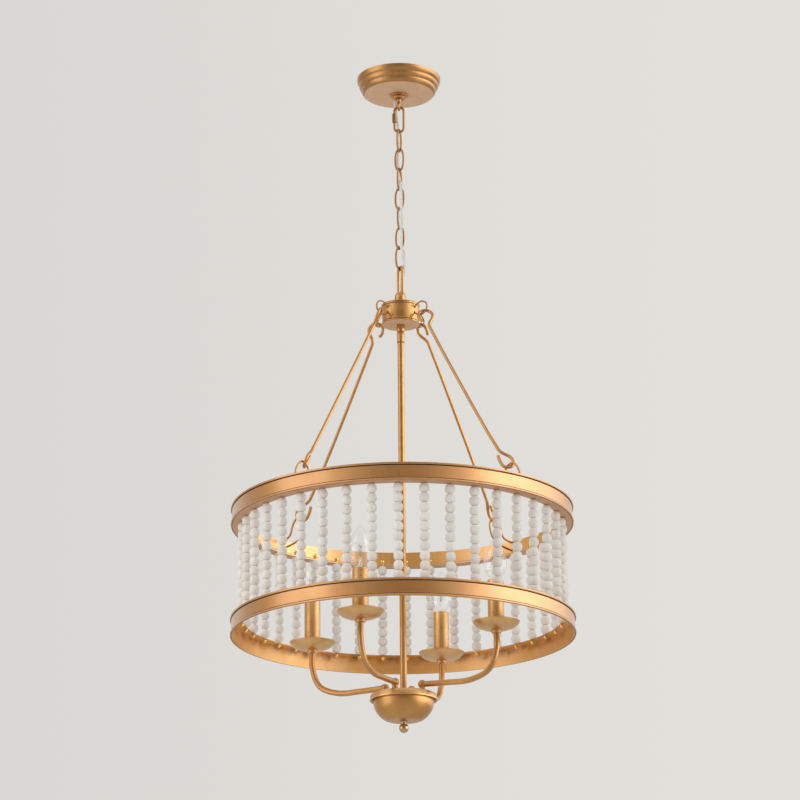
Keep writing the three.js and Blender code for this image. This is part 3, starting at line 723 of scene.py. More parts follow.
class Form:
    """A piece while it is being made, in millimetres, from one or more closed shapes."""

    def __init__(self) -> None:
        """Starts with nothing in it."""
        self.mesh = bmesh.new()
        self.finishes: list[Finish] = []
        self.tones: list[float] = []

    def add(
        self,
        shape: Shape,
        finish: Union[Finish, FinishRule] = Finish.GOLD,
        place: Matrix = Matrix.Identity(4),
        tone: float = 0.0,
    ) -> "Form":
        """Takes in a shape.

        Args:
            shape: The closed shape, which is used up.
            finish: Its finish, or a rule that gives one for each face before it is placed.
            place: Where it goes.
            tone: The bead tone of its points.

        Returns:
            The form itself.
        """
        bmesh.ops.recalc_face_normals(shape, faces=shape.faces)
        shape.normal_update()
        for face in shape.faces:
            face.smooth = True
            given = finish if isinstance(finish, Finish) else finish(face)
            face.material_index = self._index(given)
        bmesh.ops.transform(shape, matrix=place, verts=shape.verts)
        self.tones += [tone] * len(shape.verts)
        loose = mesh_of("shape", shape)
        self.mesh.from_mesh(loose)
        bpy.data.meshes.remove(loose)
        return self

    def cut(self, *cutters: Shape) -> "Form":
        """Takes closed cutters out of what is there.

        Args:
            cutters: The shapes to take out, which are used up.

        Returns:
            The form itself.
        """
        body = self._dressed("body", self.mesh)
        for cutter in cutters:
            cutting = body.modifiers.new("cut", "BOOLEAN")
            cutting.operation = "DIFFERENCE"
            cutting.solver = "EXACT"
            cutting.object = self._dressed("cutter", cutter)
        depsgraph = bpy.context.evaluated_depsgraph_get()
        result = bpy.data.meshes.new_from_object(body.evaluated_get(depsgraph))
        self.mesh = bmesh.new()
        self.mesh.from_mesh(result)
        self.tones = [0.0] * len(self.mesh.verts)
        for used in [body, *(cutting.object for cutting in body.modifiers)]:
            bpy.data.objects.remove(used)
        bpy.data.meshes.remove(result)
        return self

    def finish(
        self, name: str, node: str, body: Optional[str] = "frame", slot: str = "gilded_metal"
    ) -> Piece:
        """Makes the piece's object.

        Args:
            name: The piece's name.
            node: The node that it stands for.
            body: The body that it rides on, or nothing to leave it unattached.
            slot: The record's material slot; not used.

        Returns:
            The object, with its place in its mesh.
        """
        bmesh.ops.scale(self.mesh, vec=(MILLIMETRE,) * 3, verts=self.mesh.verts)
        piece = self._dressed(name, self.mesh)
        if any(self.tones):
            tones = piece.data.attributes.new(BEAD_TONE, "FLOAT", "POINT")
            tones.data.foreach_set("value", self.tones)
        piece.data.set_sharp_from_angle(angle=SHARP_ANGLE)
        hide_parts(node)
        if body:
            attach(piece, body)
        log.info("%s: %d faces, for %s", name, len(piece.data.polygons), node)
        return piece

    def _index(self, finish: Finish) -> int:
        """The number of a finish among the piece's materials."""
        if finish not in self.finishes:
            self.finishes.append(finish)
        return self.finishes.index(finish)

    def _dressed(self, name: str, shape: Shape) -> Piece:
        """Makes an object of a shape, in the form's materials.

        Args:
            name: The object's name.
            shape: The shape, which is used up.

        Returns:
            The object.
        """
        mesh = mesh_of(name, shape)
        for finish in self.finishes:
            mesh.materials.append(finish.value.material)
        return set_out(name, mesh)


def dress(node: str, finish: Finish) -> None:
    """Gives a node that is kept a finish of its own.

    Args:
        node: The node's name.
        finish: The finish.
    """
    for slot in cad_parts[node].material_slots:
        slot.material = finish.value.material
    log.info("%s: kept, in %s", node, finish.value.name)


# ---- studio


@dataclass(frozen=True)
class Lamp:
    """A soft rectangular lamp, in metres and watts."""

    name: str
    place: Place
    size: Point
    power: float


@dataclass
class Studio:
    """Camera, world, lamps and floor, in metres.

    Each edge is the span of a direction's axis over which one tone of the world becomes another.
    """

    focal_length: float = 140.4
    clip_end: float = 100.0
    camera_place: Place = (-0.0019, -4.501, -1.947)
    pitch: float = 107.53
    roll: float = -0.455
    backdrop_left: Colour = (0.70, 0.686, 0.66)
    backdrop_right: Colour = (0.765, 0.757, 0.72)
    backdrop_edge: Point = (-0.13, 0.13)
    mirrored_front: Colour = (0.25, 0.23, 0.21)
    mirrored_back: Colour = (0.74, 0.72, 0.68)
    front_edge: Point = (-0.95, -0.78)
    mirrored_left: Colour = (0.42, 0.38, 0.32)
    left_edge: Point = (-0.6, -0.95)
    mirrored_right: Colour = (2.0, 1.98, 1.94)
    right_edge: Point = (0.57, 0.92)
    ambient: Colour = (0.71, 0.70, 0.69)
    lamp_aim: Place = (0.0, 0.0, -0.7)
    lamps: tuple[Lamp, ...] = (
        Lamp("lamp_left", (-2.5, -1.0, -0.3), (2.0, 4.4), 29.0),
        Lamp("core_left", (-2.5, -1.0, -0.3), (0.5, 2.6), 5.0),
        Lamp("lamp_right", (2.6, -0.75, -0.35), (2.1, 4.4), 20.0),
        Lamp("core_right", (2.6, -0.75, -0.35), (0.7, 2.8), 5.0),
    )
    floor_height: float = -3.0
    floor_width: float = 40.0
    floor_tone: Colour = (0.78, 0.78, 0.76)
    floor_paler: float = 1.04
    floor_cloud_scale: float = 2.0
    floor_roughness: float = 0.9
    floor_mirrored: Colour = (0.72, 0.70, 0.66)
    floor_glow: Colour = (0.22, 0.22, 0.215)

    def build(self) -> None:
        """Sets up everything around the object."""
        bpy.context.scene.view_settings.view_transform = "Standard"
        self._add_camera()
        self._light_world()
        self._hang_lamps()
        self._lay_floor()

    def _add_camera(self) -> None:
        """The camera that matches the photograph."""
        data = bpy.data.cameras.new("camera")
        data.lens = self.focal_length
        data.clip_end = self.clip_end
        camera = set_out("camera", data)
        pitch = Matrix.Rotation(math.radians(self.pitch), 4, "X")
        roll = Matrix.Rotation(math.radians(self.roll), 4, "Z")
        camera.matrix_world = Matrix.Translation(self.camera_place) @ pitch @ roll
        bpy.context.scene.camera = camera

    def _light_world(self) -> None:
        """A pale world, darker for metal that faces the camera's side."""
        world = bpy.data.worlds.new("pale_studio")
        bpy.context.scene.world = world
        board = NodeBoard(world)
        direction = board.node("ShaderNodeTexCoord", output="Generated")
        across = board.axis(direction, "X")
        rightward = board.levels(across, self.backdrop_edge)
        backdrop = board.blend(rightward, self.backdrop_left, self.backdrop_right)
        backward = board.levels(board.axis(direction, "Y"), self.front_edge)
        mirrored = board.blend(backward, self.mirrored_front, self.mirrored_back)
        mirrored = board.blend(board.levels(across, self.left_edge), mirrored, self.mirrored_left)
        mirrored = board.blend(board.levels(across, self.right_edge), mirrored, self.mirrored_right)
        is_seen, is_mirrored = board.rays()
        around = board.blend(is_mirrored, self.ambient, mirrored)
        shown = board.blend(is_seen, around, backdrop)
        light = board.node("ShaderNodeBackground", inputs={"Color": shown})
        board.node("ShaderNodeOutputWorld", inputs={"Surface": light})

    def _hang_lamps(self) -> None:
        """Two wide soft lamps, left and right of the camera, each with a brighter core."""
        for lamp in self.lamps:
            data = bpy.data.lights.new(lamp.name, "AREA")
            data.shape = "RECTANGLE"
            data.size, data.size_y = lamp.size
            data.energy = lamp.power
            place = Vector(lamp.place)
            aim = (Vector(self.lamp_aim) - place).to_track_quat("-Z", "Y").to_matrix().to_4x4()
            hung = set_out(lamp.name, data)
            hung.matrix_world = Matrix.Translation(place) @ aim
            hung.visible_camera = False

    def _lay_floor(self) -> None:
        """A pale floor that shows its own tone to the camera and keeps the object's shadow."""
        shape = bmesh.new()
        place = Matrix.Translation((0, 0, self.floor_height))
        half = self.floor_width / 2
        bmesh.ops.create_grid(shape, x_segments=1, y_segments=1, size=half, matrix=place)
        floor = set_out("floor", mesh_of("floor", shape))
        material = bpy.data.materials.new("pale_floor")
        board = NodeBoard(material)
        cloud = board.noise(board.place(), self.floor_cloud_scale)
        is_seen, is_mirrored = board.rays()
        paler = tuple(part * self.floor_paler for part in self.floor_tone)
        own = board.blend(cloud, self.floor_tone, paler)
        board.surface(
            Base_Color=board.blend(is_mirrored, own, self.floor_mirrored),
            Roughness=self.floor_roughness,
            Emission_Color=board.blend(is_seen, (0.0, 0.0, 0.0), self.floor_glow),
            Emission_Strength=1.0,
        )
        floor.data.materials.append(material)


# ---- cord


@dataclass
class LampCord:
    """The flex that hangs beside the chain, changes side through a link and enters the hub's loop.

    The cuts are the heights where one run ends, and the pivots are those of the chain's joints.
    """

    radius: float = 2.3
    sides: int = 16
    steps: int = 6
    bend_reach: float = 6.0
    links: int = 7
    route: tuple[Place, ...] = (
        (-5.7, 5.9, -17), (-5.7, 5.9, -26), (-5.7, 5.9, -35), (-5.4, 6, -46), (-4.4, 6.1, -57),
        (-3, 6.1, -68), (-2.3, 6.1, -78), (-2.2, 6.1, -90), (-2.2, 6.1, -104), (-2.2, 6.1, -119),
        (-2.2, 6.1, -135), (-2.1, 5.9, -149), (-1.5, 4, -158), (0, 0, -167.5), (1.5, -4, -177),
        (2.1, -6, -186), (2.2, -6.3, -200), (2.2, -6.3, -216), (2, -6.2, -232), (1.8, -6.2, -248),
        (1.8, -6.2, -264), (2.1, -6.3, -281), (4.2, -5.5, -294), (6.1, -3.7, -305),
        (6.5, -2.5, -315), (5, -1.7, -324.5), (2.2, -0.8, -334), (0.4, -0.1, -343), (0, 0, -352),
        (0, 0, -366),
    )
    cuts: Series = (-69.5, -104.4, -136.6, -168.9, -201.2, -233.5, -265.8, -299.15)
    pivots: Series = (
        -50.75, -88.35, -120.45, -152.75, -185.05, -217.35, -249.65, -281.95, -316.35,
    )

    def build(self) -> None:
        """Makes one run for each joint that the flex crosses."""
        links = [f"link_{number + 1}" for number in range(self.links)]
        bodies = ["ceiling_mount", "quick_link_body", *links, "frame"]
        for index, run in enumerate(self._runs()):
            form = Form().add(sweep(run, self.radius, self.sides), Finish.CORD)
            piece = form.finish(f"flex_run_{index + 1}", "lamp_cord", None, "cord_plastic")
            metres = [tuple(point * MILLIMETRE) for point in run]
            sum((b - a).length for a, b in zip(run, run[1:])) * MILLIMETRE
            bodies[index + 1]
            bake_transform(piece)

    def _runs(self) -> list[list[Vector]]:
        """Cuts the flex's middle line halfway along each link.

        Returns:
            The points of each run, from the top.
        """
        line = smooth_path([Vector(place) for place in self.route], self.steps)
        cuts = list(self.cuts)
        runs = [[line[0]]]
        for last, point in zip(line, line[1:]):
            if cuts and point.z < cuts[0]:
                joint = last.lerp(point, (cuts.pop(0) - last.z) / (point.z - last.z))
                runs[-1].append(joint)
                runs.append([joint])
            runs[-1].append(point)
        return runs


# ---- mount and chain


@dataclass
class CanopyMount:
    """The dish against the ceiling, its ring nut and the loop that the chain hangs from."""

    sides: int = 96
    wall: float = 1.2
    outside: Section = (
        (65, 0), (65, -2.5), (64.3, -5.5), (62.6, -7.8), (61.4, -8.8), (62, -10.2), (61.9, -12),
        (60.8, -14.6), (59.2, -16.4), (58, -17.2), (58.4, -18.6), (58, -20.4), (56.2, -23.4),
        (53.4, -25.6), (50.5, -26.3),
    )
    disc_hole: float = 4.7
    collar: Section = (
        (4.7, -26.6), (13.7, -26.6), (14.2, -27.1), (14.2, -28.5), (13.5, -29), (9.4, -29),
        (10.2, -30.2), (10.1, -31.6), (9, -33.1), (4.7, -33.1),
    )
    neck: Section = (
        (0, -13.1), (3, -13.1), (3, -33.4), (3.7, -33.4), (3.7, -35), (2.9, -36.7), (2.6, -38.8),
        (0, -38.8),
    )
    loop_radius: float = 5.9
    loop_wire: float = 2.1
    loop_height: float = -44.7
    loop_turn: float = 84.0
    cord_hole: float = 2.6
    cord_place: Place = (-5.7, 5.9, -30)
    cord_cut: float = 24.0

    def build(self) -> None:
        """Makes the dish, the nut and the loop, and dresses the bracket inside."""
        inside = [(radius - self.wall, height) for radius, height in self.outside[:-1:2]]
        disc_radius, disc_foot = self.outside[-1]
        disc_top = disc_foot + self.wall
        section = [
            *self.outside, (self.disc_hole, disc_foot), (self.disc_hole, disc_top),
            (disc_radius - self.wall, disc_top), *reversed(inside),
        ]
        dish = Form().add(lathe(section, self.sides), self._dish_finish)
        dish.cut(self._cord_cutter()).finish("ceiling_dish", "canopy", "ceiling_mount")
        nut = Form().add(lathe(self.collar, steps=48, rounding=0.25)).cut(self._cord_cutter())
        nut.finish("dish_ring_nut", "canopy_collar", "ceiling_mount")
        width = 2 * (self.loop_radius + self.loop_wire)
        opening = 2 * (self.loop_radius - self.loop_wire)
        line = oval_path(width, opening, self.loop_wire, steps=14)
        ring = sweep(line, self.loop_wire, sides=16, closed=True)
        loop = Form().add(lathe(self.neck, steps=32))
        loop.add(ring, place=standing(self.loop_turn, self.loop_height))
        loop.finish("hanging_loop", "canopy_loop", "ceiling_mount")
        dress("ceiling_bracket", Finish.STEEL)

    def _dish_finish(self, face: Face) -> Finish:
        """Matt gold with painted shade below, and gold elsewhere."""
        return Finish.SHADED_UNDERSIDE if face.normal.z < FACES_DOWN else Finish.DISH

    def _cord_cutter(self) -> Shape:
        """The hole that the flex leaves through."""
        return plug((self.cord_hole,) * 2, self.cord_cut, Matrix.Translation(self.cord_place))


@dataclass
class SuspensionChain:
    """The screw link with its nut, and seven chain links."""

    screw_width: float = 18.0
    screw_length: float = 38.2
    screw_wire: float = 1.8
    screw_height: float = -67.45
    gap: Point = (3.95, 7.95)
    nut_span: Point = (-72.5, -57.5)
    nut_radius: float = 3.4
    nut_bore: float = 2.35
    nut_bevel: float = 0.2
    link_width: float = 17.0
    link_length: float = 32.6
    last_length: float = 34.7
    wire: float = 1.6
    top: float = -86.4
    pitch: float = 32.3
    half_clearance: float = 0.15
    ellipse: float = 0.75
    turns: Series = (65, -25, 65, -25, 63, -31, 26)

    def build(self) -> None:
        """Makes the screw link and its nut, then the links."""
        oval = oval_path(self.screw_width, self.screw_length, self.screw_wire, steps=14)
        leg = -self.screw_width / 2 + self.screw_wire
        half = len(oval) // 2
        low, high = self.gap
        open_line = [Vector((leg, 0, low)), *oval[half:], *oval[:half], Vector((leg, 0, high))]
        bar = sweep(open_line, self.screw_wire, sides=16, rounding=0.3)
        screw = Form().add(bar, Finish.SHADED_WIRE, standing(0, self.screw_height))
        screw.finish("screw_link", "quick_link", "quick_link_body")
        beside = Matrix.Translation((leg, 0, 0))
        nut = Form().add(lathe(self._nut_section(), steps=6), Finish.SHADED_WIRE, beside)
        nut.finish("screw_link_nut", "quick_link_nut", "quick_link_collar")
        for index, link_turn in enumerate(self.turns):
            length = self.last_length if index == len(self.turns) - 1 else self.link_length
            height = self.top - index * self.pitch + self.half_clearance - length / 2
            line = oval_path(self.link_width, length, self.wire, steps=18, ellipse=self.ellipse)
            ring = sweep(line, self.wire, sides=14, closed=True)
            link = Form().add(ring, Finish.SHADED_WIRE, standing(link_turn, height))
            number = index + 1
            link.finish(f"oval_link_{number}", f"chain_link_{number}", f"link_{number}")

    def _nut_section(self) -> list[Point]:
        """The sleeve nut's section.

        Returns:
            Its corners, with both outer ones bevelled by a share of its radius.
        """
        foot, head = self.nut_span
        bevel = self.nut_radius * self.nut_bevel
        return [
            (self.nut_bore, foot), (self.nut_radius - bevel, foot), (self.nut_radius, foot + bevel),
            (self.nut_radius, head - bevel), (self.nut_radius - bevel, head), (self.nut_bore, head),
        ]


# ---- hub and rods


@dataclass
class Hub:
    """The loop, dome, cap and cup that carry the rods, with a wire ring for each rod."""

    sides: int = 72
    loop_width: float = 20.0
    loop_length: float = 42.0
    loop_wire: float = 2.3
    loop_height: float = -335.45
    loop_turn: float = -67.0
    base: Section = ((2.7, -354.3), (6.7, -354.3), (6.7, -371.9), (2.7, -371.9))
    dome: Section = (
        (6.9, -356), (7.8, -356.7), (8.6, -358.9), (9, -362.6), (9, -370.9), (8.6, -371.9),
        (6.9, -371.9),
    )
    cap: Section = (
        (4.3, -373.4), (27.6, -375.4), (29.5, -375.4), (29.4, -374.6), (28.2, -373.7),
        (24, -372.2), (4.3, -372.2),
    )
    cup: Section = (
        (4.3, -405.6), (28.3, -405.6), (28.9, -405), (28.9, -403.4), (28.4, -402.9),
        (28.1, -401.8), (28.0, -400.4), (28.3, -397.5), (28.8, -393), (28.9, -389),
        (28.9, -378.8), (28.9, -377.6), (29.1, -377.2), (29.1, -375.7), (27.9, -375.7),
        (27.9, -387.6), (27, -400.4), (27, -404.6), (4.3, -404.6),
    )
    cup_lines: Section = ((-402.9, -401.7), (-378.7, -377.7))
    cup_lining: float = 27.5
    ring_height: float = -387.6
    ring_reach: float = 39.1
    ring_half_length: float = 14.9
    ring_wire: float = 1.25
    ring_shares: Section = (
        (-0.879, 0.174), (-0.644, 0.329), (-0.309, 0.577), (0.161, 0.711), (0.53, 0.624),
        (0.839, 0.416),
    )
    hole_offset: float = 4.05
    hole_radii: Point = (2.1, 1.7)
    hole_reach: float = 28.0
    hole_length: float = 8.0

    def build(self) -> None:
        """Makes the loop, dome, cap, cup and wire rings."""
        line = oval_path(self.loop_width, self.loop_length, self.loop_wire, steps=16)
        ring = sweep(line, self.loop_wire, sides=16, closed=True)
        loop = Form().add(lathe(self.base, steps=40, rounding=0.4))
        loop.add(ring, place=standing(self.loop_turn, self.loop_height))
        loop.finish("hub_hanging_loop", "hub_loop")
        Form().add(lathe(self.dome, steps=40, rounding=0.2)).finish("hub_dome", "hub_loop_collar")
        Form().add(lathe(self.cap, self.sides, rounding=0.15)).finish("hub_lid", "hub_cap")
        cup = Form().add(lathe(self.cup, self.sides), self._cup_finish)
        cup.cut(*self._hole_cutters()).finish("hub_cup", "hub_body")
        dress("hub_nipple", Finish.STEEL)
        for number, rod_turn in enumerate(ROD_TURNS, 1):
            wire = sweep(self._ring_line(), self.ring_wire, sides=12, closed=True)
            hung = Form().add(wire, Finish.SHADED_WIRE, facing(rod_turn))
            hung.finish(f"cup_ring_{number}", f"hub_ring_{number}")

    def _cup_finish(self, face: Face) -> Finish:
        """Matt gold with painted shade below, dark patina with painted shade over the lip and under
        the cap, and gold elsewhere.

        Args:
            face: A face of the cup.

        Returns:
            Its finish.
        """
        centre = face.calc_center_median()
        if face.normal.z < FACES_DOWN:
            return Finish.SHADED_UNDERSIDE
        lined = any(low < centre.z < high for low, high in self.cup_lines)
        return Finish.PATINA_AND_SHADE if lined and centre.xy.length > self.cup_lining else Finish.GOLD

    def _hole_cutters(self) -> list[Shape]:
        """Places the cutters of the holes in the cup's wall.

        Returns:
            Two bars for each wire ring.
        """
        outward = Matrix.Rotation(math.pi / 2, 4, "Y")
        heights = (self.ring_height - self.hole_offset, self.ring_height + self.hole_offset)
        places = [
            facing(rod_turn) @ Matrix.Translation((self.hole_reach, 0, height)) @ outward
            for rod_turn in ROD_TURNS
            for height in heights
        ]
        return [plug(self.hole_radii, self.hole_length, place) for place in places]

    def _ring_line(self) -> list[Vector]:
        """Rounds a wire ring's middle line, which mirrors its upper half.

        Returns:
            The points, in the plane of +X and Z.
        """
        lower = [(out, -up) for out, up in self.ring_shares]
        upper = [(out, up) for out, up in reversed(self.ring_shares)]
        centre = Vector((self.ring_reach, 0, self.ring_height))
        shares = [(-1, 0), *lower, (1, 0), *upper]
        corners = [centre + Vector((out, 0, up)) * self.ring_half_length for out, up in shares]
        return smooth_path(corners, steps=4, closed=True)


@dataclass
class HookedRods:
    """Four straight rods with a closed hook at each end, from the hub's rings to the drum's eyes.

    Shares are distances down from a hook's crown and to its side, in hook radii.
    """

    upper_end: Place = (46.997, 0, -396.898)
    lower_end: Place = (209.4, 0, -669.32)
    radius: float = 2.4
    hook_radius: float = 10.0
    upper_lift: float = 0.6
    lower_lift: float = 1.3
    upper_turns: Series = (45, 12, 45, 45)
    lower_turns: Series = (45, 27, 45, 45)
    upper_shares: Section = (
        (1.5, -0.8), (0.95, -1), (0.4, -0.98), (-0.08, -0.72), (-0.33, -0.25), (-0.33, 0.25),
        (-0.08, 0.72), (0.4, 1.02), (0.95, 1.1), (1.5, 0.84), (2.1, 0.2), (2.7, -0.18),
        (3.2, -0.24),
    )
    lower_shares: Section = (
        (2.25, -0.76), (1.75, -0.86), (1.1, -0.92), (0.4, -0.88), (-0.12, -0.62), (-0.33, -0.2),
        (-0.33, 0.2), (-0.12, 0.58), (0.3, 0.82), (0.85, 0.86), (1.5, 0.66), (2.1, 0.26),
        (2.7, -0.1), (3.3, -0.26),
    )

    def build(self) -> None:
        """Makes the four rods."""
        along = (Vector(self.lower_end) - Vector(self.upper_end)).normalized()
        hooks = zip(ROD_TURNS, self.upper_turns, self.lower_turns)
        for number, (rod_turn, upper_turn, lower_turn) in enumerate(hooks, 1):
            upper_side = self._side(along, upper_turn)
            lower_side = self._side(along, lower_turn)
            upper_crown = Vector(self.upper_end), along, self.upper_lift
            lower_crown = Vector(self.lower_end), -along, self.lower_lift
            line = [
                *self._hook(self.upper_shares, *upper_crown, upper_side),
                *reversed(self._hook(self.lower_shares, *lower_crown, lower_side)),
            ]
            bar = sweep(smooth_path(line, steps=5), self.radius, sides=16, rounding=0.8)
            rod = Form().add(bar, place=facing(rod_turn))
            rod.finish(f"drum_rod_{number}", f"hook_rod_{number}", f"rod_{number}")

    def _side(self, along: Vector, hook_turn: float) -> Vector:
        """The direction across a rod that a hook's plane has at a turn."""
        angle = math.radians(hook_turn)
        outward = Vector((-along.z, 0, along.x))
        return Vector((0, 1, 0)) * math.cos(angle) + outward * math.sin(angle)

    def _hook(
        self, shares: Section, end: Vector, inward: Vector, lift: float, side: Vector
    ) -> list[Vector]:
        """Places the points of one hook.

        Args:
            shares: The hook's line.
            end: The point that the hook hangs on.
            inward: The direction from that end towards the rod.
            lift: How far the crown lies past the end.
            side: The direction across the rod in the hook's plane.

        Returns:
            The points, from the hook's tip to the rod.
        """
        return [
            end + inward * (down * self.hook_radius - lift) + side * (across * self.hook_radius)
            for down, across in shares
        ]


# ---- drum


@dataclass
class Drum:
    """Two flanged bands, the eyes inside the upper one, and the bead strands between them."""

    sides: int = 180
    band_radius: float = 254.2
    rolled: Section = (
        (254.4, 0.5), (254.6, 0), (255.2, 0), (256, 0.7), (256, 2), (255.4, 2.8), (253.8, 3),
        (253.8, 3.5), (254.2, 3.9), (254.2, 21.6), (253.5, 21.9), (253.5, 22.7), (255.3, 23),
        (256, 23.9), (256, 25.3), (255.2, 26),
    )
    upper_flange: Section = (
        (236.7, 0), (253.7, 0), (253.9, 0.5), (252.7, 26), (252.7, 1.5), (236.7, 1.5),
    )
    lower_flange: Section = (
        (252.7, 0), (253.6, 0), (253.8, 0.5), (236.7, 26), (236.7, 24.5), (252.7, 24.5),
    )
    groove_heights: Section = ((0.2, 0.6), (2.9, 3.8), (21.8, 23.1))
    groove_reach: float = 0.3
    lining_depth: float = 1.1
    wall_slope: float = 0.5
    flange_foot: float = 1.0
    band_height: float = 26.0
    upper_foot: float = -723.5
    lower_foot: float = -892.1
    eye_foot: float = 253.5
    eye_length: float = 44.1
    eye_wire: float = 1.6
    eye_shares: Section = (
        (0, -0.045), (0.408, 0.034), (0.51, 0.17), (0.565, 0.351), (0.669, 0.54), (0.839, 0.671),
        (1, 0.639), (1.116, 0.528), (1.163, 0.363), (1.138, 0.181), (1.032, -0.023),
        (0.85, -0.17), (0.5, -0.275), (0, -0.34),
    )
    strand_radius: float = 238.6
    first_turn: float = -1.4
    strand_step: float = 9.0
    quarters: int = 4
    strands_each: int = 10
    beads_each: int = 10
    strand_top: float = -723.8
    strand_foot: float = -865.8
    thread_wire: float = 0.8
    bead: Section = (
        (0, 7), (3.8, 6.9), (6.2, 4.9), (7.3, 1.9), (7.3, -1.9), (6.2, -4.9), (3.8, -6.9), (0, -7),
    )
    bead_sides: int = 12
    bead_lean: float = 1.2
    bead_smallest: float = 0.98
    bead_greyest: float = 0.05
    pin: Section = (
        (0, 0), (2.1, 0), (2.1, 2), (2.9, 3.4), (3.2, 5), (2.9, 6.6), (1.9, 8), (0.8, 8.7),
        (0, 8.8),
    )
    stopper_radius: float = 3.1
    upper_pin_foot: float = -721.9
    upper_stopper: float = -718.7
    lower_stopper: float = -870.9
    tie_wire: float = 0.7
    tie_height: float = -720.9
    seed: int = 31

    def build(self) -> None:
        """Makes the bands, the strands and their stoppers."""
        upper = self._band(self.upper_flange, self.upper_foot, Finish.LINING)
        for eye_turn in ROD_TURNS:
            upper.add(sweep(self._eye_line(), self.eye_wire, sides=12), place=facing(eye_turn))
        upper.finish("upper_band", "upper_ring", "drum")
        # The lower band's lining carries painted shade under its flange.
        lower = self._band(self.lower_flange, self.lower_foot, Finish.SHADED_LINING)
        lower.finish("lower_band", "lower_ring", "drum")
        draw = random.Random(self.seed)
        for quarter in range(self.quarters):
            self._strands(quarter, draw)

    def _band(self, flange: Section, foot: float, lining: Finish) -> Form:
        """Makes a band with its rolled lips and its flange.

        Args:
            flange: The section's corners before and after the rolled outside, three each.
            foot: The band's lowest height.
            lining: The finish inside its wall.

        Returns:
            The band as a form.
        """
        shape = lathe([*flange[:3], *self.rolled, *flange[3:]], self.sides)
        place = Matrix.Translation((0, 0, foot))
        return Form().add(shape, lambda face: self._band_finish(face, lining), place)

    def _band_finish(self, face: Face, lining: Finish) -> Finish:
        """Brushed outside, dark patina with painted shade in the grooves, lined inside and matt
        with painted shade under the upper flange.

        Args:
            face: A face of a band that stands on zero.
            lining: The finish inside the band's wall.

        Returns:
            The face's finish.
        """
        centre = face.calc_center_median()
        radius = centre.xy.length
        if radius < self.band_radius - self.lining_depth:
            if abs(face.normal.z) < self.wall_slope:
                return lining
            below = face.normal.z < FACES_DOWN and centre.z < self.flange_foot
            return Finish.SHADED_FLANGE if below else Finish.LINING
        grooved = any(low < centre.z < high for low, high in self.groove_heights)
        deep = radius < self.band_radius + self.groove_reach
        return Finish.PATINA_AND_SHADE if grooved and deep else Finish.BAND

    def _eye_line(self) -> list[Vector]:
        """Rounds a wire eye's middle line.

        Returns:
            The points, in the plane of +X and Z.
        """
        top = self.upper_foot + self.band_height
        size = self.eye_length
        shares = self.eye_shares
        corners = [(self.eye_foot - inward * size, top + up * size) for inward, up in shares]
        return smooth_section(corners, steps=4)

    def _strands(self, quarter: int, draw: random.Random) -> None:
        """Strings one quarter of the strands and puts their stoppers on.

        Args:
            quarter: The quarter's number, from zero.
            draw: Where the beads' small differences are drawn from.
        """
        beads = Form()
        stoppers = Form()
        pitch = (self.strand_top - self.strand_foot) / self.beads_each
        bead = lathe(self.bead, self.bead_sides)
        tie_line = []
        for index in range(self.strands_each):
            strand_turn = self.first_turn + self.strand_step * (quarter * self.strands_each + index)
            spot = facing(strand_turn) @ Vector((self.strand_radius, 0, 0))
            for number in range(self.beads_each):
                height = self.strand_foot + (number + MIDDLE) * pitch
                spun = Matrix.Rotation(draw.uniform(0, math.pi), 4, "Z")
                lean = Matrix.Rotation(math.radians(draw.gauss(0, self.bead_lean)), 4, "X")
                size = Matrix.Scale(draw.uniform(self.bead_smallest, 1.0), 4)
                place = Matrix.Translation((spot.x, spot.y, height)) @ spun @ lean @ size
                tone = self.bead_greyest + (1 - self.bead_greyest) * draw.random()
                beads.add(bead.copy(), Finish.BEAD, place, tone)
            low, high, tied = (
                Vector((spot.x, spot.y, height))
                for height in (self.lower_stopper, self.upper_stopper, self.tie_height)
            )
            beads.add(sweep([low, high], self.thread_wire, sides=8), Finish.THREAD)
            tie_line.append(tied)
            pin_foot = Matrix.Translation((spot.x, spot.y, self.upper_pin_foot))
            stoppers.add(lathe(self.pin, steps=14), Finish.BRIGHT, pin_foot)
            stopper = ball(self.stopper_radius, tuple(low), around=14, upward=9)
            stoppers.add(stopper, Finish.BRIGHT)
        bead.free()
        beads.add(sweep(smooth_path(tie_line, steps=4), self.tie_wire, sides=8), Finish.THREAD)
        number = quarter + 1
        node = f"bead_strands_{number}"
        beads.finish(f"bead_quarter_{number}", node, "drum", "whitewashed_wood")
        stoppers.finish(f"stopper_balls_{number}", node, "drum", "bright_finial")


# ---- stem, bowl and arms


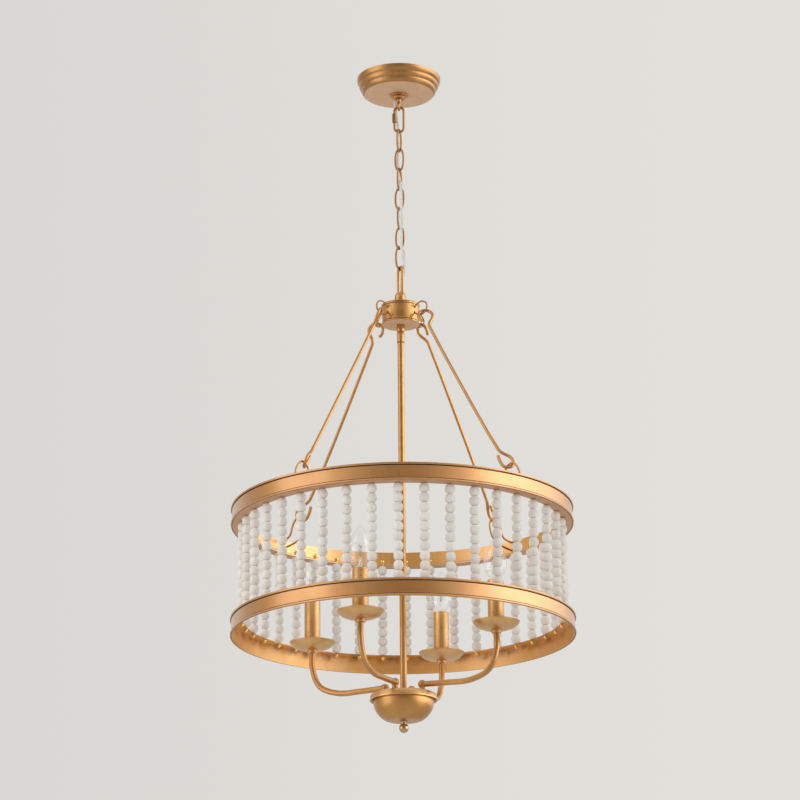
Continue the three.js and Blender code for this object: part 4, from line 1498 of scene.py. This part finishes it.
@dataclass
class StemAndBowl:
    """The central stem with its coupling, the shallow bowl with its lid, and the finial."""

    coupling: Section = (
        (3.9, -416.6), (6, -416.6), (6, -405.9), (4.3, -405.9), (4.3, -411.3), (3.9, -411.3),
    )
    stem: Section = (
        (1.8, -1027.4), (3, -1027.4), (3, -978.1), (5, -978.1), (5, -434.9), (5.3, -434.5),
        (5.3, -433.9), (5.8, -433.5), (5.8, -418.8), (3.6, -418.8), (3.6, -411.6), (1.8, -411.6),
    )
    thread_foot: float = -418.9
    sleeve_line: Point = (-434.7, -433.7)
    lid: Section = (
        (3.3, -979.6), (45.2, -979.6), (48.8, -988.5), (50, -988.5), (50, -987), (49.3, -982.6),
        (47.8, -979.8), (45.5, -978.4), (3.3, -978.4),
    )
    bowl_radius: float = 44.8
    bowl_depth: float = 39.5
    bowl_floor: float = -1019.4
    bowl_wall: float = 1.2
    bowl_hole: float = 8.0
    bowl_shares: Section = (
        (1, 1), (1, 0.87), (0.982, 0.58), (0.9, 0.36), (0.76, 0.17), (0.6, 0.05), (0.46, 0.01),
        (0.3, 0), (0.1, 0),
    )
    finial_neck: Section = (
        (0, -1019.7), (6, -1019.7), (5.6, -1020.6), (4.3, -1021.6), (4.3, -1024), (0, -1024),
    )
    finial_radius: float = 7.2
    finial_height: float = -1029.1

    def build(self) -> None:
        """Makes the coupling, stem, lid, bowl and finial, and dresses the nut inside."""
        coupling = Form().add(lathe(self.coupling, steps=40, rounding=0.25))
        coupling.finish("stem_sleeve_nut", "stem_coupling")
        stem = Form().add(lathe(self.stem, steps=40, rounding=0.1), self._stem_finish)
        stem.finish("centre_stem", "stem")
        # The lid's brighter gold is a painted highlight.
        lid = Form().add(lathe(self.lid, steps=96, rounding=0.2), Finish.LIT_LID)
        lid.finish("bowl_cover", "bowl_lid")
        Form().add(lathe(self._bowl_section(), steps=96)).finish("shallow_bowl", "bowl")
        centre = (0, 0, self.finial_height)
        knob = Form().add(ball(self.finial_radius, centre, around=36, upward=20), Finish.POLISHED)
        knob.add(lathe(self.finial_neck, steps=32), Finish.POLISHED)
        knob.finish("ball_finial", "finial", "finial_knob", "bright_finial")
        dress("stem_nut", Finish.STEEL)

    def _stem_finish(self, face: Face) -> Finish:
        """Bare steel on the thread that shows, a dark line of painted shade under the sleeve and
        gold elsewhere.

        Args:
            face: A face of the stem.

        Returns:
            Its finish.
        """
        height = face.calc_center_median().z
        if height > self.thread_foot:
            return Finish.STEEL
        low, high = self.sleeve_line
        return Finish.PATINA_AND_SHADE if low < height < high else Finish.GOLD

    def _bowl_section(self) -> list[Point]:
        """Rounds the bowl's outside and sets its inside off by the wall, but not at its hole.

        Returns:
            The section, outside down and inside up.
        """
        corners = [
            (out * self.bowl_radius, self.bowl_floor + up * self.bowl_depth)
            for out, up in self.bowl_shares
        ]
        outside = [(point.x, point.z) for point in smooth_section(corners, steps=4)]
        inside = [
            (
                radius - self.bowl_wall * (radius > self.bowl_hole),
                height + self.bowl_wall * (1 - (radius / self.bowl_radius) ** 2),
            )
            for radius, height in reversed(outside)
        ]
        return [*outside, *inside]


@dataclass
class CandleArms:
    """Four arms with drip pans, sleeves, lampholders and clear bulbs."""

    turns: Series = (-24.2, 65.8, 157, -114.2)
    reach: float = 149.0
    knuckle: Place = (30, 0, -966.3)
    knuckle_radius: float = 6.2
    neck: Section = (
        (0, -984.4), (3.4, -984.4), (3.4, -978.1), (4.9, -978.1), (4.6, -977.2), (4.2, -970),
        (0, -970),
    )
    arm_radius: float = 4.3
    arm_line: Section = (
        (30, -966.3), (68.5, -967.6), (107, -966.95), (136.7, -954), (149, -924.3), (149, -902.3),
    )
    nipple: Section = ((0, -904.3), (3, -904.3), (3, -887.3), (0, -887.3))
    pan: Section = (
        (3.3, -902), (7.1, -902), (7.5, -901.4), (7.5, -897.6), (8.2, -897.2), (13.5, -897.1),
        (20, -895.9), (27.6, -892.8), (32.6, -888.2), (34.3, -885.6), (34.5, -885), (33.6, -885),
        (31.8, -887.4), (26.9, -891.6), (19.8, -894.7), (13.2, -896), (3.3, -896),
    )
    pan_slope: float = -0.2
    sleeve: Section = ((11, -895.7), (12, -895.7), (12, -823), (11, -823))
    base: Section = ((0, -843), (6, -843), (6, -824.5), (0, -824.5))
    glass: Section = (
        (6.2, -825), (6.6, -822.6), (9.1, -818.9), (15.0, -809.4), (17.5, -797.2), (14.0, -780.8),
        (6.7, -765.2), (1.6, -757.2), (0, -755),
    )
    glass_stem: Section = (
        (0, -824.4), (5.2, -824.4), (3.4, -821), (2.2, -815), (2.0, -806), (2.6, -804.6),
        (1.6, -803.6), (0, -803.4),
    )
    wires: tuple[tuple[Place, ...], ...] = (
        ((-1.2, 0, -806), (-2.6, 0, -800), (-4.6, 0, -788), (-4.2, 0, -786.4)),
        ((1.2, 0, -806), (2.6, 0, -800), (4.6, 0, -788), (4.2, 0, -786.4)),
        ((0, 0, -804), (0, 0, -792), (0, 0.3, -789.2)),
        ((-4.5, 0, -787), (-2.4, 0.3, -790.6), (0, 0.3, -789), (2.4, 0.3, -790.6), (4.5, 0, -787)),
    )
    wire_radius: float = 0.3

    def build(self) -> None:
        """Makes each arm with what it carries."""
        for number, arm_turn in enumerate(self.turns, 1):
            branch = facing(arm_turn)
            candle = branch @ Matrix.Translation((self.reach, 0, 0))
            self._arm(number, branch, candle)
            pan = Form().add(lathe(self.pan, steps=64), self._pan_finish, candle)
            pan.finish(f"pan_{number}", f"drip_pan_{number}")
            sleeve = lathe(self.sleeve, steps=48, rounding=0.2)
            candle_form = Form().add(sleeve, Finish.SLEEVE, candle)
            candle_form.finish(f"sleeve_{number}", f"candle_sleeve_{number}")
            dress(f"lamp_socket_{number}", Finish.HOLDER)
            self._bulb(number, candle)

    def _arm(self, number: int, branch: Matrix, candle: Matrix) -> None:
        """Makes an arm with its knuckle, its neck and the nipple under the pan.

        Args:
            number: The arm's number.
            branch: The arm's turn about the stem.
            candle: The place of the candle's axis.
        """
        line = smooth_section(self.arm_line, steps=8)
        arm = Form().add(sweep(line, self.arm_radius, sides=24), place=branch)
        arm.add(ball(self.knuckle_radius, self.knuckle), place=branch)
        root = branch @ Matrix.Translation((self.knuckle[0], 0, 0))
        arm.add(lathe(self.neck, steps=28), place=root)
        arm.add(lathe(self.nipple, steps=20), Finish.STEEL, candle)
        arm.finish(f"candle_arm_{number}", f"arm_{number}")

    def _pan_finish(self, face: Face) -> Finish:
        """Lighter satin gold with a painted reflection under the pan, and gold elsewhere."""
        return Finish.LIT_PAN_UNDERSIDE if face.normal.z < self.pan_slope else Finish.GOLD

    def _bulb(self, number: int, candle: Matrix) -> None:
        """Makes a bulb's glass with its metal base, and the glass stem and wires inside.

        Args:
            number: The bulb's number.
            candle: The place of its axis.
        """
        outside = [(point.x, point.z) for point in smooth_section(self.glass, steps=4)]
        foot = (0.0, self.glass[0][1])
        bulb = Form().add(lathe([foot, *outside], steps=40), Finish.GLASS, candle)
        bulb.add(lathe(self.glass_stem, steps=20), Finish.STEM_GLASS, candle)
        bulb.add(lathe(self.base, steps=28, rounding=0.3), Finish.STEEL, candle)
        for wire in self.wires:
            line = smooth_path([Vector(place) for place in wire], steps=4)
            bulb.add(sweep(line, self.wire_radius, sides=6), Finish.FILAMENT, candle)
        bulb.finish(f"clear_bulb_{number}", f"bulb_{number}", f"lamp_{number}", "clear_glass")


def main() -> None:
    """Builds the scene."""
    logging.basicConfig(level=logging.INFO, format="%(name)s: %(message)s")
    for assembly in (
        Studio(), LampCord(), CanopyMount(), SuspensionChain(), Hub(), HookedRods(), Drum(),
        StemAndBowl(), CandleArms(),
    ):
        log.info("building %s", type(assembly).__name__)
        assembly.build()


if __name__ == "__main__":
    main()
